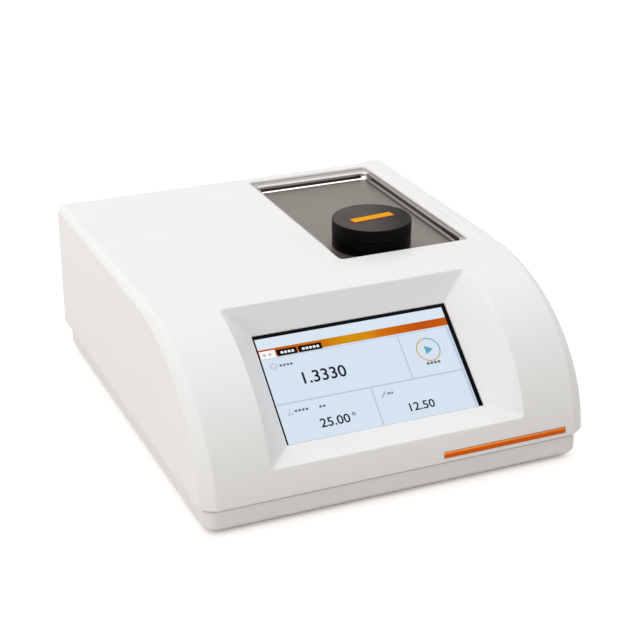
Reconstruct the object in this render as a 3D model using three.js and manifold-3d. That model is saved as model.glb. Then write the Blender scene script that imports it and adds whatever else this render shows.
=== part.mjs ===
// Digital bench refractometer: a moulded cover with a slanted touch screen on a base tray, a steel sample
// tray with a prism under a lift-off lid, and the optics, cooling and electronics inside.
// Millimetres, +Z up, +X to the user's right, the front faces -Y. The origin is under the middle of the
// housing, on the plane that the feet stand on.

import * as THREE from 'three';
import Module from 'manifold-3d';

const wasm = await Module();
wasm.setup();

// Driving dimensions

const fit = {
  gap: 0.3, // between two pieces that seat on each other
  overrun: 3, // how far a cutting form reaches past the face that it cuts
};

const foot = {
  radius: 9,
  height: 4,
  taper: 1, // the underside is this much smaller in radius
  insetX: 28,
  insetY: 34,
  screwRadius: 3,
  screwDepth: 2.4,
};

const base = {
  height: 18.5,
  sideInset: 3.7,
  frontInset: 4,
  rearInset: 9,
  wall: 3,
  floor: 3,
  edgeRadius: 3.5, // round between the underside and the walls
  lipRise: 6, // how far its walls run up inside the cover
};

const cover = {
  width: 308,
  depth: 365,
  height: 108.5,
  wall: 3,
  noseReach: 138.6, // how far back the quarter ellipse of the front runs
  noseSink: 2.4, // how far that ellipse's centre lies under the lower edge
  rearRadius: 8,
  frontBandWidth: 9.5, // softened corner band between front and side, across the front
  frontBandDepth: 7, // and along the side
  rearBandWidth: 6.5,
  rearBandDepth: 5.6,
  pillarRadius: 5,
  pillarInsetX: 12.5,
  pillarFront: 27,
  pillarRear: 23,
};

const rail = {
  width: 18, // from the right side to the fine crease
  rise: 1.8,
  step: 1.6,
  fade: 42, // length over which it dies away in front of the tray
};

const trayOpening = {
  right: 26, // from the housing's right side
  width: 111,
  front: 151, // behind the housing's front
  rear: 16, // in front of its back
  radius: 4,
};

const screen = {
  recessLow: 22.1, // lower edge of the recess over the cover's lower edge
  recessReach: 102.6, // upper edge of the recess behind the front
  flank: 21.6, // width of the recess on either side of the window
  depth: 14.5, // the screen's plane under the chord of the recess
  shift: 1, // window's middle over the recess's middle, along the slope
  sideShift: 1.3, // and to its right
  windowWidth: 159.8,
  windowHeight: 89.1,
  lip: 1.2, // wall left in front of the glass
  wall: 2.6,
  glassOver: 3.1, // glass past the window's sides
  glassOverHigh: 5.95, // and past its ends
  glassThickness: 1.1,
  panelOver: 2.55,
  panelOverHigh: 5.45,
  panelThickness: 5.2,
  bracketOver: 17.1,
  bracketOverHigh: 7.45,
  bracketSheet: 1.5,
  bracketWindowWidth: 92,
  bracketWindowHeight: 56,
  postRadius: 4,
  postInsetX: 7,
  postInsetY: 12,
  postReach: 12,
  padRadius: 3,
  padHeight: 4,
  boardWidth: 110,
  boardHeight: 74,
  boardThickness: 1.6,
  chipHeight: 2.4,
};

const strip = {
  left: 33.6,
  width: 102.8,
  height: 5.1,
  depth: 2,
  low: 3.3, // over the cover's lower edge
};

const tray = {
  sheet: 0.8,
  floorDepth: 8, // floor under the cover's top
  rim: 6, // how far the flange reaches under the cover
  rightLedge: 1.2, // flange in view along the right and left
  frontLedge: 1.2,
  rearLedge: 8.5,
  cornerRadius: 7,
  bendRadius: 1.6,
  footRadius: 2.6,
  rimRadius: 8,
};

const chamber = {
  right: 92.5, // axis, from the housing's right side
  y: 189, // axis, behind the front
  radius: 31.6,
  height: 10.8,
  bore: 24,
  chamfer: 0.5,
  lidRadius: 32.2,
  lidHeight: 11.2,
  lidTopThickness: 4,
  spigotRadius: 28,
  spigotHeight: 3.4,
  sealSection: 1.8,
  labelLength: 35,
  labelWidth: 10.6,
  labelThickness: 0.4,
  labelShiftX: 0.6,
  labelShiftY: 1.2,
};

const prism = {
  holeRadius: 22, // hole in the sample tray
  mountFlangeRadius: 26.5,
  mountFlange: 3,
  mountRise: 0.6, // its face over the tray's floor
  dishRadius: 13,
  dishDepth: 2.2,
  faceRadius: 5, // of the glass in view
  lip: 1.2,
  width: 13,
  length: 17,
  tipLength: 7,
  height: 9,
  sealWidth: 1.4,
  sealThickness: 0.6,
};

const optics = {
  width: 50,
  topLength: 110,
  brim: 6,
  drop: 40, // height of the block
  boreRadius: 8,
  barrelRadius: 7.4,
  barrelLength: 12,
  ledFlangeRadius: 11,
  ledFlange: 4,
  ledCapRadius: 8,
  ledCapHeight: 10,
  lensRadius: 7.5,
  lensEdge: 1.4,
  lensBulge: 1.6,
  lensPlace: 25, // along the bore from the prism
  boardSide: 32,
  boardThickness: 1.6,
  chipWidth: 7,
  chipHeight: 2.4,
  bracketSheet: 2,
  bracketLength: 56,
  bracketWindow: 44,
  bracketTopShort: 6,
};

const cooling = {
  plateSide: 40,
  plateThickness: 3.8,
  plateDrop: 25, // its middle under the top of the optics block
  sinkBase: 5,
  sinkDepth: 30,
  sinkLength: 82,
  sinkHeight: 50,
  finThickness: 1.6,
  fanSide: 60,
  fanDepth: 15,
  fanRight: 62, // its axis from the right side
  fanBore: 28,
  hubRadius: 12,
  hubDepth: 3,
  strutWidth: 4,
  bladeRadius: 26.8,
  bladeThickness: 1.4,
  bladeLean: 7.5,
  shaftRadius: 1.6,
  shaftClearance: 0.4,
};
const finCount = 11;
const bladeCount = 7;
const bladeSweep = 20; // degrees from root to tip

const rear = {
  windowInset: 32, // from either side
  windowLow: 12, // over the cover's lower edge
  windowHeight: 80,
  windowRadius: 5,
  sheet: 1.5,
  overlap: 6,
  slotHeight: 2.6,
  slotPitch: 5.6,
};

const inlet = {
  left: 56, // its middle from the left side
  z: 48, // over the cover's lower edge
  flangeWidth: 34,
  flangeHeight: 46,
  flange: 2.2,
  bodyWidth: 28,
  bodyHeight: 38,
  bodyDepth: 24,
  cornerCut: 4,
  socketWidth: 24.4,
  socketHeight: 16.6,
  socketDepth: 16,
  socketRise: 8, // socket's middle over the body's middle
  bladeWidth: 2,
  bladeHeight: 4.2,
  bladeLength: 22,
  bladeSpread: 7,
  earthRise: 4,
  drawerWidth: 22,
  drawerHeight: 9,
  drawerDepth: 15,
  drawerDrop: 11,
  drawerWall: 1.4,
  drawerFace: 2,
  drawerGrip: 1.2,
};

const power = {
  left: 96,
  z: 48,
  flangeWidth: 17,
  flangeHeight: 24,
  flange: 2,
  bodyWidth: 14.4,
  bodyHeight: 21,
  bodyDepth: 15,
  wall: 1.2,
  rockerHeight: 16,
  rockerCrown: 2.6,
  rockerDepth: 6,
  pinRadius: 1.1,
  pinLength: 0.7,
};
const rockerTilt = 9; // degrees to either side

const ports = {
  usbLeft: 132,
  usbPitch: 22,
  usbZ: 56,
  usbWidth: 14.4,
  usbHeight: 7.6,
  usbDepth: 17,
  usbWall: 0.8,
  usbTongue: 2,
  usbTongueWidth: 11,
  usbOut: 1,
  serialLeft: 143,
  serialZ: 32,
  serialPlateWidth: 31,
  serialPlateHeight: 12.6,
  serialPlate: 0.9,
  serialWidth: 18.6,
  serialHeight: 9.6,
  serialTaper: 1.3,
  serialOut: 5.6,
  serialBody: 10,
};

const board = {
  left: 20, // from the left side
  front: 118,
  clear: 18.2, // to the bracket of the optics on its right
  rearGap: 18, // to the power supply behind it
  thickness: 1.6,
  rise: 8, // over the base's floor
  postRadius: 3,
  postInset: 6,
};

const supply = {
  left: 20,
  back: 33, // in front of the housing's back
  width: 108,
  length: 84,
  height: 38,
  sheet: 1.2,
  ribHeight: 3,
  ribWidth: 8,
};

// Sizes given as a share of the neighbour that they sit in
const shares = {
  displayChip: 0.25, // of the display board's height
  sensorChip: 1.6, // of the bore's radius
  shaft: 0.6, // of the fan's depth
  bladeRoot: 0.9, // of the hub's radius
  slotRound: 0.48, // of the grille slot's height
  inletBlade: 0.75, // of the socket's depth
  rockerFoot: 0.9, // of half the rocker
  usbMouth: 0.7, // of the port's depth
  chip: 0.16, // of the main board's width
  chipRow: 0.21, // of its length
  terminals: 0.6, // of the power supply's width
};

// Places that follow from the sizes

const leftSide = -cover.width / 2;
const rightSide = cover.width / 2;
const trayLeft = rightSide - trayOpening.right - trayOpening.width;
const trayLength = cover.depth - trayOpening.front - trayOpening.rear;
const chamberX = rightSide - chamber.right;
const supplyLeft = leftSide + supply.left;
const supplyFront = cover.depth / 2 - supply.back - supply.length;
const boardLeft = leftSide + board.left;
const boardFront = board.front - cover.depth / 2;
const boardWidth = chamberX - optics.width / 2 - fit.gap - optics.bracketSheet - board.clear - boardLeft;
const boardLength = supplyFront - board.rearGap - boardFront;
const inletX = leftSide + inlet.left;
const powerX = leftSide + power.left;
const usbX = leftSide + ports.usbLeft;
const serialX = leftSide + ports.serialLeft;
const rearWindowWidth = cover.width - rear.windowInset * 2;
const front = -cover.depth / 2;
const back = cover.depth / 2;
const baseBottom = foot.height;
const baseFloor = baseBottom + base.floor;
const coverBottom = baseBottom + base.height;
const baseLip = coverBottom + base.lipRise;
const coverTop = coverBottom + cover.height;
const noseCentre = coverBottom - cover.noseSink;
const noseHeight = coverTop - noseCentre;
const railCrease = cover.width / 2 - rail.width;
const trayFloor = coverTop - tray.floorDepth;
const panelFace = back - base.rearInset - base.wall / 2 + rear.sheet / 2; // outer face of the rear panel
const chamberY = front + chamber.y;

// Colours and finishes

const finish = {
  housing: new THREE.MeshStandardMaterial({ color: 0xf1f0ed, roughness: 0.38 }),
  steel: new THREE.MeshStandardMaterial({ color: 0x9c9790, roughness: 0.16, metalness: 1 }),
  black: new THREE.MeshStandardMaterial({ color: 0x151414, roughness: 0.42 }),
  rubber: new THREE.MeshStandardMaterial({ color: 0x1d1d1d, roughness: 0.85 }),
  orange: new THREE.MeshStandardMaterial({ color: 0xe05a0c, roughness: 0.22 }),
  label: new THREE.MeshStandardMaterial({ color: 0xf9a51e, roughness: 0.5 }),
  glass: new THREE.MeshStandardMaterial({ color: 0xd7e4f0, roughness: 0.08 }),
  crystal: new THREE.MeshStandardMaterial({ color: 0xe8f2f2, roughness: 0.03 }),
  aluminium: new THREE.MeshStandardMaterial({ color: 0xb9bbbe, roughness: 0.35, metalness: 1 }),
  panel: new THREE.MeshStandardMaterial({ color: 0xd9d9d6, roughness: 0.5, metalness: 0.2 }),
  board: new THREE.MeshStandardMaterial({ color: 0x1f5b37, roughness: 0.55 }),
  ceramic: new THREE.MeshStandardMaterial({ color: 0xf3f3f0, roughness: 0.6 }),
  brass: new THREE.MeshStandardMaterial({ color: 0xc9a550, roughness: 0.3, metalness: 1 }),
};

// Forms

const segments = { corner: 5, slot: 2, lens: 3, round: 40, small: 16 };
const outsideSteps = { nose: 16, rear: 4, band: 4, top: 5 };
const hollowSteps = { nose: 12, rear: 2, band: 4, top: 1 };
const cornersPerUnit = 4099.3; // corners nearer than this grid's step are one corner
const bandPower = 1.6; // 1 is a round corner, 2 a flat chamfer

const group = new THREE.Group();

function addMesh(name, geometry, material, parent = group) {
  const mesh = new THREE.Mesh(geometry, material.clone());
  mesh.name = name;
  parent.add(mesh);
  return mesh;
}

// A closed solid from a geometry, with its shared corners merged and its flat triangles dropped.
function solid(geometry) {
  const { position } = geometry.attributes;
  const places = [];
  const known = new Map();
  const corner = Array.from({ length: position.count }, (_, i) => {
    const place = [position.getX(i), position.getY(i), position.getZ(i)];
    const key = place.map((value) => Math.round(value * cornersPerUnit)).join();
    if (!known.has(key)) {
      known.set(key, known.size);
      places.push(...place);
    }
    return known.get(key);
  });
  const order = geometry.index ? [...geometry.index.array] : corner.map((_, i) => i);
  const kept = [];
  for (let i = 0; i < order.length; i += 3) {
    const [a, b, c] = [corner[order[i]], corner[order[i + 1]], corner[order[i + 2]]];
    if (a !== b && b !== c && a !== c) kept.push(a, b, c);
  }
  return new wasm.Manifold(new wasm.Mesh({
    numProp: 3,
    vertProperties: new Float32Array(places),
    triVerts: new Uint32Array(kept),
  }));
}

function surface(body) {
  const mesh = body.getMesh();
  const geometry = new THREE.BufferGeometry();
  geometry.setAttribute('position', new THREE.BufferAttribute(mesh.vertProperties, 3));
  geometry.setIndex(new THREE.BufferAttribute(mesh.triVerts, 1));
  return geometry;
}

function joined(...geometries) {
  return geometries.map(solid).reduce((whole, piece) => whole.add(piece));
}

// A closed form through a row of closed sections with the same number of points. Its ends are filled by
// strips that run from one half of the loop to the other.
function loft(sections) {
  const count = sections[0].length;
  const points = sections.flat();
  const faces = [];
  for (let s = 0; s + 1 < sections.length; s += 1) {
    for (let i = 0; i < count; i += 1) {
      const a = s * count + i;
      const b = s * count + (i + 1) % count;
      faces.push(a, b, b + count, a, b + count, a + count);
    }
  }
  const last = (sections.length - 1) * count;
  for (let i = 0; i < count / 2 - 1; i += 1) {
    const across = count - 1 - i;
    for (const [a, b, c] of [[i, across, i + 1], [i + 1, across, across - 1]]) {
      if (b === c) continue;
      faces.push(a, b, c, last + a, last + c, last + b);
    }
  }
  let volume = 0;
  for (let i = 0; i < faces.length; i += 3) {
    const [a, b, c] = [points[faces[i]], points[faces[i + 1]], points[faces[i + 2]]];
    volume += a.dot(b.clone().cross(c));
  }
  if (volume < 0) faces.reverse();
  const geometry = new THREE.BufferGeometry().setFromPoints(points);
  geometry.setIndex(faces);
  return geometry;
}

// A block that stands on z, centred on x and y.
function block(width, length, height, x = 0, y = 0, z = 0) {
  return new THREE.BoxGeometry(width, length, height).translate(x, y, z + height / 2);
}

// A round post that stands on z.
function post(radius, height, x = 0, y = 0, z = 0, sides = segments.small, topRadius = radius) {
  const form = new THREE.CylinderGeometry(topRadius, radius, height, sides);
  return form.rotateX(Math.PI / 2).translate(x, y, z + height / 2);
}

// A form turned about +Z from [radius, z] points. The profile starts and ends on the axis, or closes.
function turned(profile, sides = segments.round) {
  const points = profile.map(([radius, z]) => new THREE.Vector2(radius, z));
  return new THREE.LatheGeometry(points, sides).rotateX(Math.PI / 2);
}

function roundedShape(width, length, radius) {
  const [x, y] = [width / 2, length / 2];
  const shape = new THREE.Shape();
  shape.moveTo(x, radius - y);
  shape.absarc(x - radius, y - radius, radius, 0, Math.PI / 2);
  shape.absarc(radius - x, y - radius, radius, Math.PI / 2, Math.PI);
  shape.absarc(radius - x, radius - y, radius, Math.PI, Math.PI * 1.5);
  shape.absarc(x - radius, radius - y, radius, Math.PI * 1.5, Math.PI * 2);
  return shape;
}

// A flat plate of any outline that stands on z.
function plate(shape, thickness, x = 0, y = 0, z = 0, curveSegments = segments.corner) {
  const form = new THREE.ExtrudeGeometry(shape, { depth: thickness, bevelEnabled: false, curveSegments });
  return form.translate(x, y, z);
}

function polygon(points) {
  return new THREE.Shape(points.map(([x, y]) => new THREE.Vector2(x, y)));
}

// A closed loop round a rectangle with round corners, at height z.
function roundedLoop(width, length, radius, x, y, z) {
  const loop = [];
  const corners = [[1, 1], [-1, 1], [-1, -1], [1, -1]];
  corners.forEach(([sideX, sideY], quarter) => {
    for (let i = 0; i <= segments.corner; i += 1) {
      const angle = (quarter + i / segments.corner) * Math.PI / 2;
      loop.push(new THREE.Vector3(
        x + sideX * (width / 2 - radius) + radius * Math.cos(angle),
        y + sideY * (length / 2 - radius) + radius * Math.sin(angle),
        z,
      ));
    }
  });
  return loop;
}

// The softened corner band: how far it is drawn in from the side and from the face, for a turn of 0 to 1.
function band(width, depth, turn) {
  const angle = turn * Math.PI / 2;
  return {
    fromSide: width * (1 - Math.cos(angle) ** bandPower),
    fromFace: depth * (1 - Math.sin(angle) ** bandPower),
  };
}

// Housing

// Stations along the cover's side outline: front, top and back, with how far each lies along the nose.
function sideStations(steps) {
  const stations = [];
  const start = Math.asin(cover.noseSink / noseHeight);
  for (let i = 0; i <= steps.nose; i += 1) {
    const angle = start + (Math.PI / 2 - start) * i / steps.nose;
    const normal = new THREE.Vector2(-noseHeight * Math.cos(angle), cover.noseReach * Math.sin(angle));
    stations.push({
      y: front + cover.noseReach * (1 - Math.cos(angle)),
      z: noseCentre + noseHeight * Math.sin(angle),
      normal: normal.normalize(),
      share: i / steps.nose,
    });
  }
  const topEnd = back - cover.rearRadius;
  const topStart = front + cover.noseReach;
  for (let i = 1; i < steps.top; i += 1) {
    const y = topStart + (topEnd - topStart) * i / steps.top;
    stations.push({ y, z: coverTop, normal: new THREE.Vector2(0, 1), share: 1 });
  }
  for (let i = 0; i <= steps.rear; i += 1) {
    const angle = Math.PI / 2 * i / steps.rear;
    stations.push({
      y: topEnd + cover.rearRadius * Math.sin(angle),
      z: coverTop - cover.rearRadius * (1 - Math.cos(angle)),
      normal: new THREE.Vector2(Math.sin(angle), Math.cos(angle)),
      share: 1,
    });
  }
  stations.push({ y: back, z: coverBottom, normal: new THREE.Vector2(1, 0), share: 1 });
  return stations;
}

// How far the right rail stands over the top at a place.
function railRise(x, y) {
  const across = THREE.MathUtils.smoothstep(x, railCrease - rail.step / 2, railCrease + rail.step / 2);
  const start = front + trayOpening.front - rail.fade / 2;
  return rail.rise * across * THREE.MathUtils.smoothstep(y, start, start + rail.fade);
}

// The cover's outer form, or with an inset its hollow. The foot of the form is moved down by drop.
function coverForm(steps, inset, drop, withRail) {
  const stations = sideStations(steps);
  const half = cover.width / 2 - inset;
  const section = (side, turn, place) => stations.map((station, i) => {
    const width = THREE.MathUtils.lerp(cover.frontBandWidth, cover.rearBandWidth, station.share);
    const depth = THREE.MathUtils.lerp(cover.frontBandDepth, cover.rearBandDepth, station.share);
    const { fromSide, fromFace } = band(width, depth, turn);
    const x = place === undefined ? side * (half - fromSide) : place;
    const y = station.y - station.normal.x * (inset + fromFace);
    const atFoot = i === 0 || i === stations.length - 1;
    const z = atFoot ? coverBottom - drop : station.z - station.normal.y * (inset + fromFace);
    const rise = withRail && station.share === 1 && !atFoot ? railRise(x, y) : 0;
    return new THREE.Vector3(x, y, z + rise);
  });
  const sections = [];
  for (let i = 0; i <= steps.band; i += 1) sections.push(section(-1, i / steps.band));
  if (withRail) {
    sections.push(section(0, 1, railCrease - rail.step / 2));
    sections.push(section(0, 1, railCrease + rail.step / 2));
  }
  for (let i = steps.band; i >= 0; i -= 1) sections.push(section(1, i / steps.band));
  return loft(sections);
}

// The nose as seen from the side: how far back it lies at a height, and how high at a distance.
function noseY(z) {
  return front + cover.noseReach * (1 - Math.sqrt(1 - ((z - noseCentre) / noseHeight) ** 2));
}

function noseAngle(y) {
  return Math.acos(1 - (y - front) / cover.noseReach);
}

const recessWidth = screen.windowWidth + screen.flank * 2;
const bracketWidth = screen.windowWidth + screen.bracketOver * 2;
const bracketHeight = screen.windowHeight + screen.bracketOverHigh * 2;

// The slanted frame of the screen: its middle is the middle of the window, +Y runs up the slope.
const recessLow = coverBottom + screen.recessLow;
const recessLowAngle = Math.asin((recessLow - noseCentre) / noseHeight);
const recessHighAngle = noseAngle(front + screen.recessReach);
const lowEdge = new THREE.Vector2(noseY(recessLow), recessLow);
const highEdge = new THREE.Vector2(
  front + screen.recessReach,
  noseCentre + noseHeight * Math.sin(recessHighAngle),
);
const chord = highEdge.clone().sub(lowEdge);
const slope = chord.clone().normalize();
const slopeNormal = new THREE.Vector2(-slope.y, slope.x);
const windowMiddle = lowEdge.clone().add(highEdge).multiplyScalar(1 / 2)
  .addScaledVector(slope, screen.shift)
  .addScaledVector(slopeNormal, -screen.depth);
const screenFrame = new THREE.Group();
screenFrame.position.set(screen.sideShift, windowMiddle.x, windowMiddle.y);
screenFrame.rotation.x = chord.angle();
screenFrame.updateMatrix();
group.add(screenFrame);

function onScreen(geometry) {
  return geometry.applyMatrix4(screenFrame.matrix);
}

// The recess round the screen: plane flanks run from the window out to the nose's own curve.
// A margin makes the form that keeps a wall round it.
function recessForm(margin, steps) {
  const window = [];
  const rim = [];
  const far = [];
  const reach = 1 + screen.wall / screen.depth;
  const side = (sign, upwards) => {
    for (let i = 0; i <= steps; i += 1) {
      const share = upwards ? i / steps : 1 - i / steps;
      const angle = THREE.MathUtils.lerp(recessLowAngle, recessHighAngle, share);
      const point = new THREE.Vector2(
        front + cover.noseReach * (1 - Math.cos(angle)),
        noseCentre + noseHeight * Math.sin(angle),
      ).sub(windowMiddle);
      const along = point.dot(slope);
      const out = point.dot(slopeNormal);
      const low = lowEdge.clone().sub(windowMiddle).dot(slope);
      const high = low + chord.length();
      const rise = (along - low) / (high - low) * 2 - 1;
      const start = new THREE.Vector3(
        sign * (screen.windowWidth / 2 + margin),
        rise * (screen.windowHeight / 2 + margin),
        margin > 0 ? -screen.lip : 0,
      );
      const end = new THREE.Vector3(
        sign * (recessWidth / 2 + margin) - screen.sideShift, along + rise * margin, out,
      );
      const over = start.clone().lerp(end, reach);
      window.push(start);
      rim.push(over);
      far.push(new THREE.Vector3(over.x, over.y, screen.recessReach));
    }
  };
  side(1, true);
  side(-1, false);
  return onScreen(loft([window, rim, far]));
}

function coverPillars() {
  const x = cover.width / 2 - cover.pillarInsetX;
  const places = [
    [-x, front + cover.pillarFront],
    [x, front + cover.pillarFront],
    [-x, back - cover.pillarRear],
    [x, back - cover.pillarRear],
  ];
  return places;
}

function buildCover() {
  const outside = solid(coverForm(outsideSteps, 0, 0, true));
  const hollow = solid(coverForm(hollowSteps, cover.wall, fit.overrun, false));
  const recess = solid(recessForm(0, outsideSteps.nose));
  const recessWall = solid(recessForm(screen.wall, hollowSteps.nose));
  const collarDepth = back - cover.wall - panelFace - fit.gap;
  const collarHeight = rear.windowHeight + cover.wall * 2;
  const windowMiddleZ = coverBottom + rear.windowLow + rear.windowHeight / 2;
  const collar = solid(plate(
    roundedShape(rearWindowWidth + cover.wall * 2, collarHeight, rear.windowRadius + cover.wall),
    collarDepth + cover.wall,
  ).rotateX(Math.PI / 2).translate(0, back - fit.gap, windowMiddleZ));
  const rearWindow = solid(plate(
    roundedShape(rearWindowWidth, rear.windowHeight, rear.windowRadius),
    collarDepth + cover.wall + fit.overrun * 2,
  ).rotateX(Math.PI / 2).translate(0, back + fit.overrun, windowMiddleZ));
  const pillars = coverPillars().map(([x, y]) => solid(
    post(cover.pillarRadius, cover.height, x, y, baseLip),
  ));
  const bracketTop = -(screen.lip + screen.glassThickness + screen.panelThickness + fit.gap * 3);
  const screenPosts = screenCorners().map(([x, y]) => solid(onScreen(
    post(screen.postRadius, screen.postReach - bracketTop - fit.gap, x, y, bracketTop + fit.gap),
  )));
  let shell = outside.subtract(hollow.subtract(recessWall));
  for (const part of [collar, ...pillars, ...screenPosts]) shell = shell.add(part.intersect(outside));
  const opening = solid(plate(
    roundedShape(trayOpening.width, trayLength, trayOpening.radius),
    cover.wall + rail.rise + fit.overrun * 2,
    trayLeft + trayOpening.width / 2,
    front + trayOpening.front + trayLength / 2,
    coverTop - cover.wall - fit.overrun,
  ));
  const window = solid(onScreen(block(
    screen.windowWidth, screen.windowHeight, screen.lip + fit.overrun * 2, 0, 0, -screen.lip - fit.overrun,
  )));
  const slot = solid(block(
    strip.width,
    strip.depth + fit.overrun,
    strip.height,
    strip.left + strip.width / 2,
    noseY(stripLow()) + (strip.depth - fit.overrun) / 2,
    stripLow(),
  ));
  return shell.subtract(recess).subtract(window).subtract(opening).subtract(slot).subtract(rearWindow);
}

function screenCorners() {
  const x = bracketWidth / 2 - screen.postInsetX;
  const y = bracketHeight / 2 - screen.postInsetY;
  return [[-x, -y], [x, -y], [-x, y], [x, y]];
}

function stripLow() {
  return coverBottom + strip.low;
}

// The base's outline at a height: straight sides with the same softened corners as the cover.
function baseLoop(inset, z) {
  const x = cover.width / 2 - base.sideInset - inset;
  const nearY = front + base.frontInset + inset;
  const farY = back - base.rearInset - inset;
  const loop = [];
  const corner = (sign, atFront) => {
    for (let i = 0; i <= outsideSteps.band; i += 1) {
      const turn = (sign > 0) === atFront ? 1 - i / outsideSteps.band : i / outsideSteps.band;
      const width = atFront ? cover.frontBandWidth : cover.rearBandWidth;
      const depth = atFront ? cover.frontBandDepth : cover.rearBandDepth;
      const { fromSide, fromFace } = band(width, depth, turn);
      const y = atFront ? nearY + fromFace : farY - fromFace;
      loop.push(new THREE.Vector3(sign * (x - fromSide), y, z));
    }
  };
  corner(-1, true);
  corner(1, true);
  corner(1, false);
  corner(-1, false);
  return loop;
}

function buildBase() {
  const sections = [];
  for (let i = 0; i <= segments.corner; i += 1) {
    const angle = Math.PI / 2 * i / segments.corner;
    sections.push(baseLoop(
      base.edgeRadius * (1 - Math.sin(angle)),
      baseBottom + base.edgeRadius * (1 - Math.cos(angle)),
    ));
  }
  sections.push(baseLoop(0, baseLip));
  let tub = solid(loft(sections)).subtract(solid(loft([
    baseLoop(base.wall, baseFloor),
    baseLoop(base.wall, baseLip + fit.overrun),
  ])));
  for (const [x, y] of coverPillars()) {
    const height = baseLip - fit.gap - baseBottom - base.floor / 2;
    tub = tub.add(solid(post(cover.pillarRadius, height, x, y, baseBottom + base.floor / 2)));
  }
  const ribs = [supply.ribWidth, supply.length - supply.ribWidth].map((y) => block(
    supply.width, supply.ribWidth, supply.ribHeight + base.floor / 2,
    supplyLeft + supply.width / 2, supplyFront + y, baseFloor - base.floor / 2,
  ));
  return tub.add(joined(...ribs));
}

function addFeet() {
  const profile = [
    [0, foot.screwDepth],
    [foot.screwRadius, foot.screwDepth],
    [foot.screwRadius, 0],
    [foot.radius - foot.taper, 0],
    [foot.radius, foot.taper],
    [foot.radius, foot.height],
    [0, foot.height],
  ];
  const x = cover.width / 2 - foot.insetX;
  const places = {
    foot_front_left: [-x, front + foot.insetY],
    foot_front_right: [x, front + foot.insetY],
    foot_rear_left: [-x, back - foot.insetY],
    foot_rear_right: [x, back - foot.insetY],
  };
  for (const [name, [px, py]] of Object.entries(places)) {
    addMesh(name, turned(profile, segments.small), finish.rubber).position.set(px, py, 0);
  }
}

// Screen: glass, panel, bracket and driver board, stacked under the window in the slanted frame

function addScreen() {
  const glassTop = -screen.lip - fit.gap;
  const panelTop = glassTop - screen.glassThickness - fit.gap;
  const bracketTop = panelTop - screen.panelThickness - fit.gap;
  addMesh('touch_glass', plate(
    roundedShape(
      screen.windowWidth + screen.glassOver * 2, screen.windowHeight + screen.glassOverHigh * 2, screen.lip,
    ),
    screen.glassThickness, 0, 0, glassTop - screen.glassThickness,
  ), finish.glass, screenFrame);
  addMesh('display_panel', block(
    screen.windowWidth + screen.panelOver * 2, screen.windowHeight + screen.panelOverHigh * 2,
    screen.panelThickness, 0, 0, panelTop - screen.panelThickness,
  ), finish.aluminium, screenFrame);
  const sheet = plate(
    roundedShape(bracketWidth, bracketHeight, screen.postRadius),
    screen.bracketSheet, 0, 0, bracketTop - screen.bracketSheet,
  );
  const padX = screen.boardWidth / 2 - screen.padRadius;
  const padY = screen.boardHeight / 2 - screen.padRadius;
  const underside = bracketTop - screen.bracketSheet;
  const pads = [[-1, -1], [1, -1], [-1, 1], [1, 1]].map(([sx, sy]) => post(
    screen.padRadius, screen.padHeight + screen.bracketSheet / 2,
    sx * padX, sy * padY, underside - screen.padHeight,
  ));
  const hole = block(
    screen.bracketWindowWidth, screen.bracketWindowHeight,
    screen.bracketSheet + fit.overrun * 2, 0, 0, underside - fit.overrun,
  );
  addMesh('display_bracket', surface(joined(sheet, ...pads).subtract(solid(hole))), finish.aluminium,
    screenFrame);
  const boardTop = underside - screen.padHeight - fit.gap;
  const chip = screen.boardHeight * shares.displayChip;
  const chipFoot = boardTop - screen.boardThickness - screen.chipHeight;
  const parts = joined(
    block(screen.boardWidth, screen.boardHeight, screen.boardThickness, 0, 0,
      boardTop - screen.boardThickness),
    block(chip, chip, screen.chipHeight + screen.boardThickness / 2, -chip, 0, chipFoot),
    block(chip * 2, chip / 2, screen.chipHeight + screen.boardThickness / 2, chip, chip, chipFoot),
  );
  addMesh('display_board', surface(parts), finish.board, screenFrame);
}

// The strip's face lies in the plane of the housing's foremost edge, so it stands a little proud of the nose.
function addStrip() {
  const depth = noseY(stripLow()) + strip.depth - fit.gap - front;
  addMesh('accent_strip', block(
    strip.width - fit.gap * 2, depth, strip.height - fit.gap * 2,
    strip.left + strip.width / 2, front + depth / 2, stripLow() + fit.gap,
  ), finish.orange);
}

// Sample tray, chamber and prism

// The pressed well of the tray: a loop per height, from the flange down to the floor.
function wellForm(grow, top) {
  const left = trayLeft + tray.rightLedge;
  const width = trayOpening.width - tray.rightLedge * 2;
  const near = front + trayOpening.front + tray.frontLedge;
  const length = trayLength - tray.frontLedge - tray.rearLedge;
  const x = left + width / 2;
  const y = near + length / 2;
  const level = (inset, z) => roundedLoop(
    width - inset * 2, length - inset * 2, tray.cornerRadius + tray.bendRadius - inset, x, y, z,
  );
  const rows = [];
  const flange = coverTop - cover.wall - fit.gap;
  const curl = tray.footRadius + grow;
  const bend = tray.bendRadius - grow;
  for (let i = 0; i <= segments.corner; i += 1) {
    const angle = Math.PI / 2 * i / segments.corner;
    rows.push(level(
      bend + curl * (1 - Math.sin(angle)),
      trayFloor - grow + curl * (1 - Math.cos(angle)),
    ));
  }
  for (let i = 0; i <= segments.corner; i += 1) {
    const angle = Math.PI / 2 * i / segments.corner;
    rows.push(level(bend * Math.cos(angle), flange - grow - bend * (1 - Math.sin(angle))));
  }
  if (top) rows.push(level(0, flange + top));
  return loft(rows);
}

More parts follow.
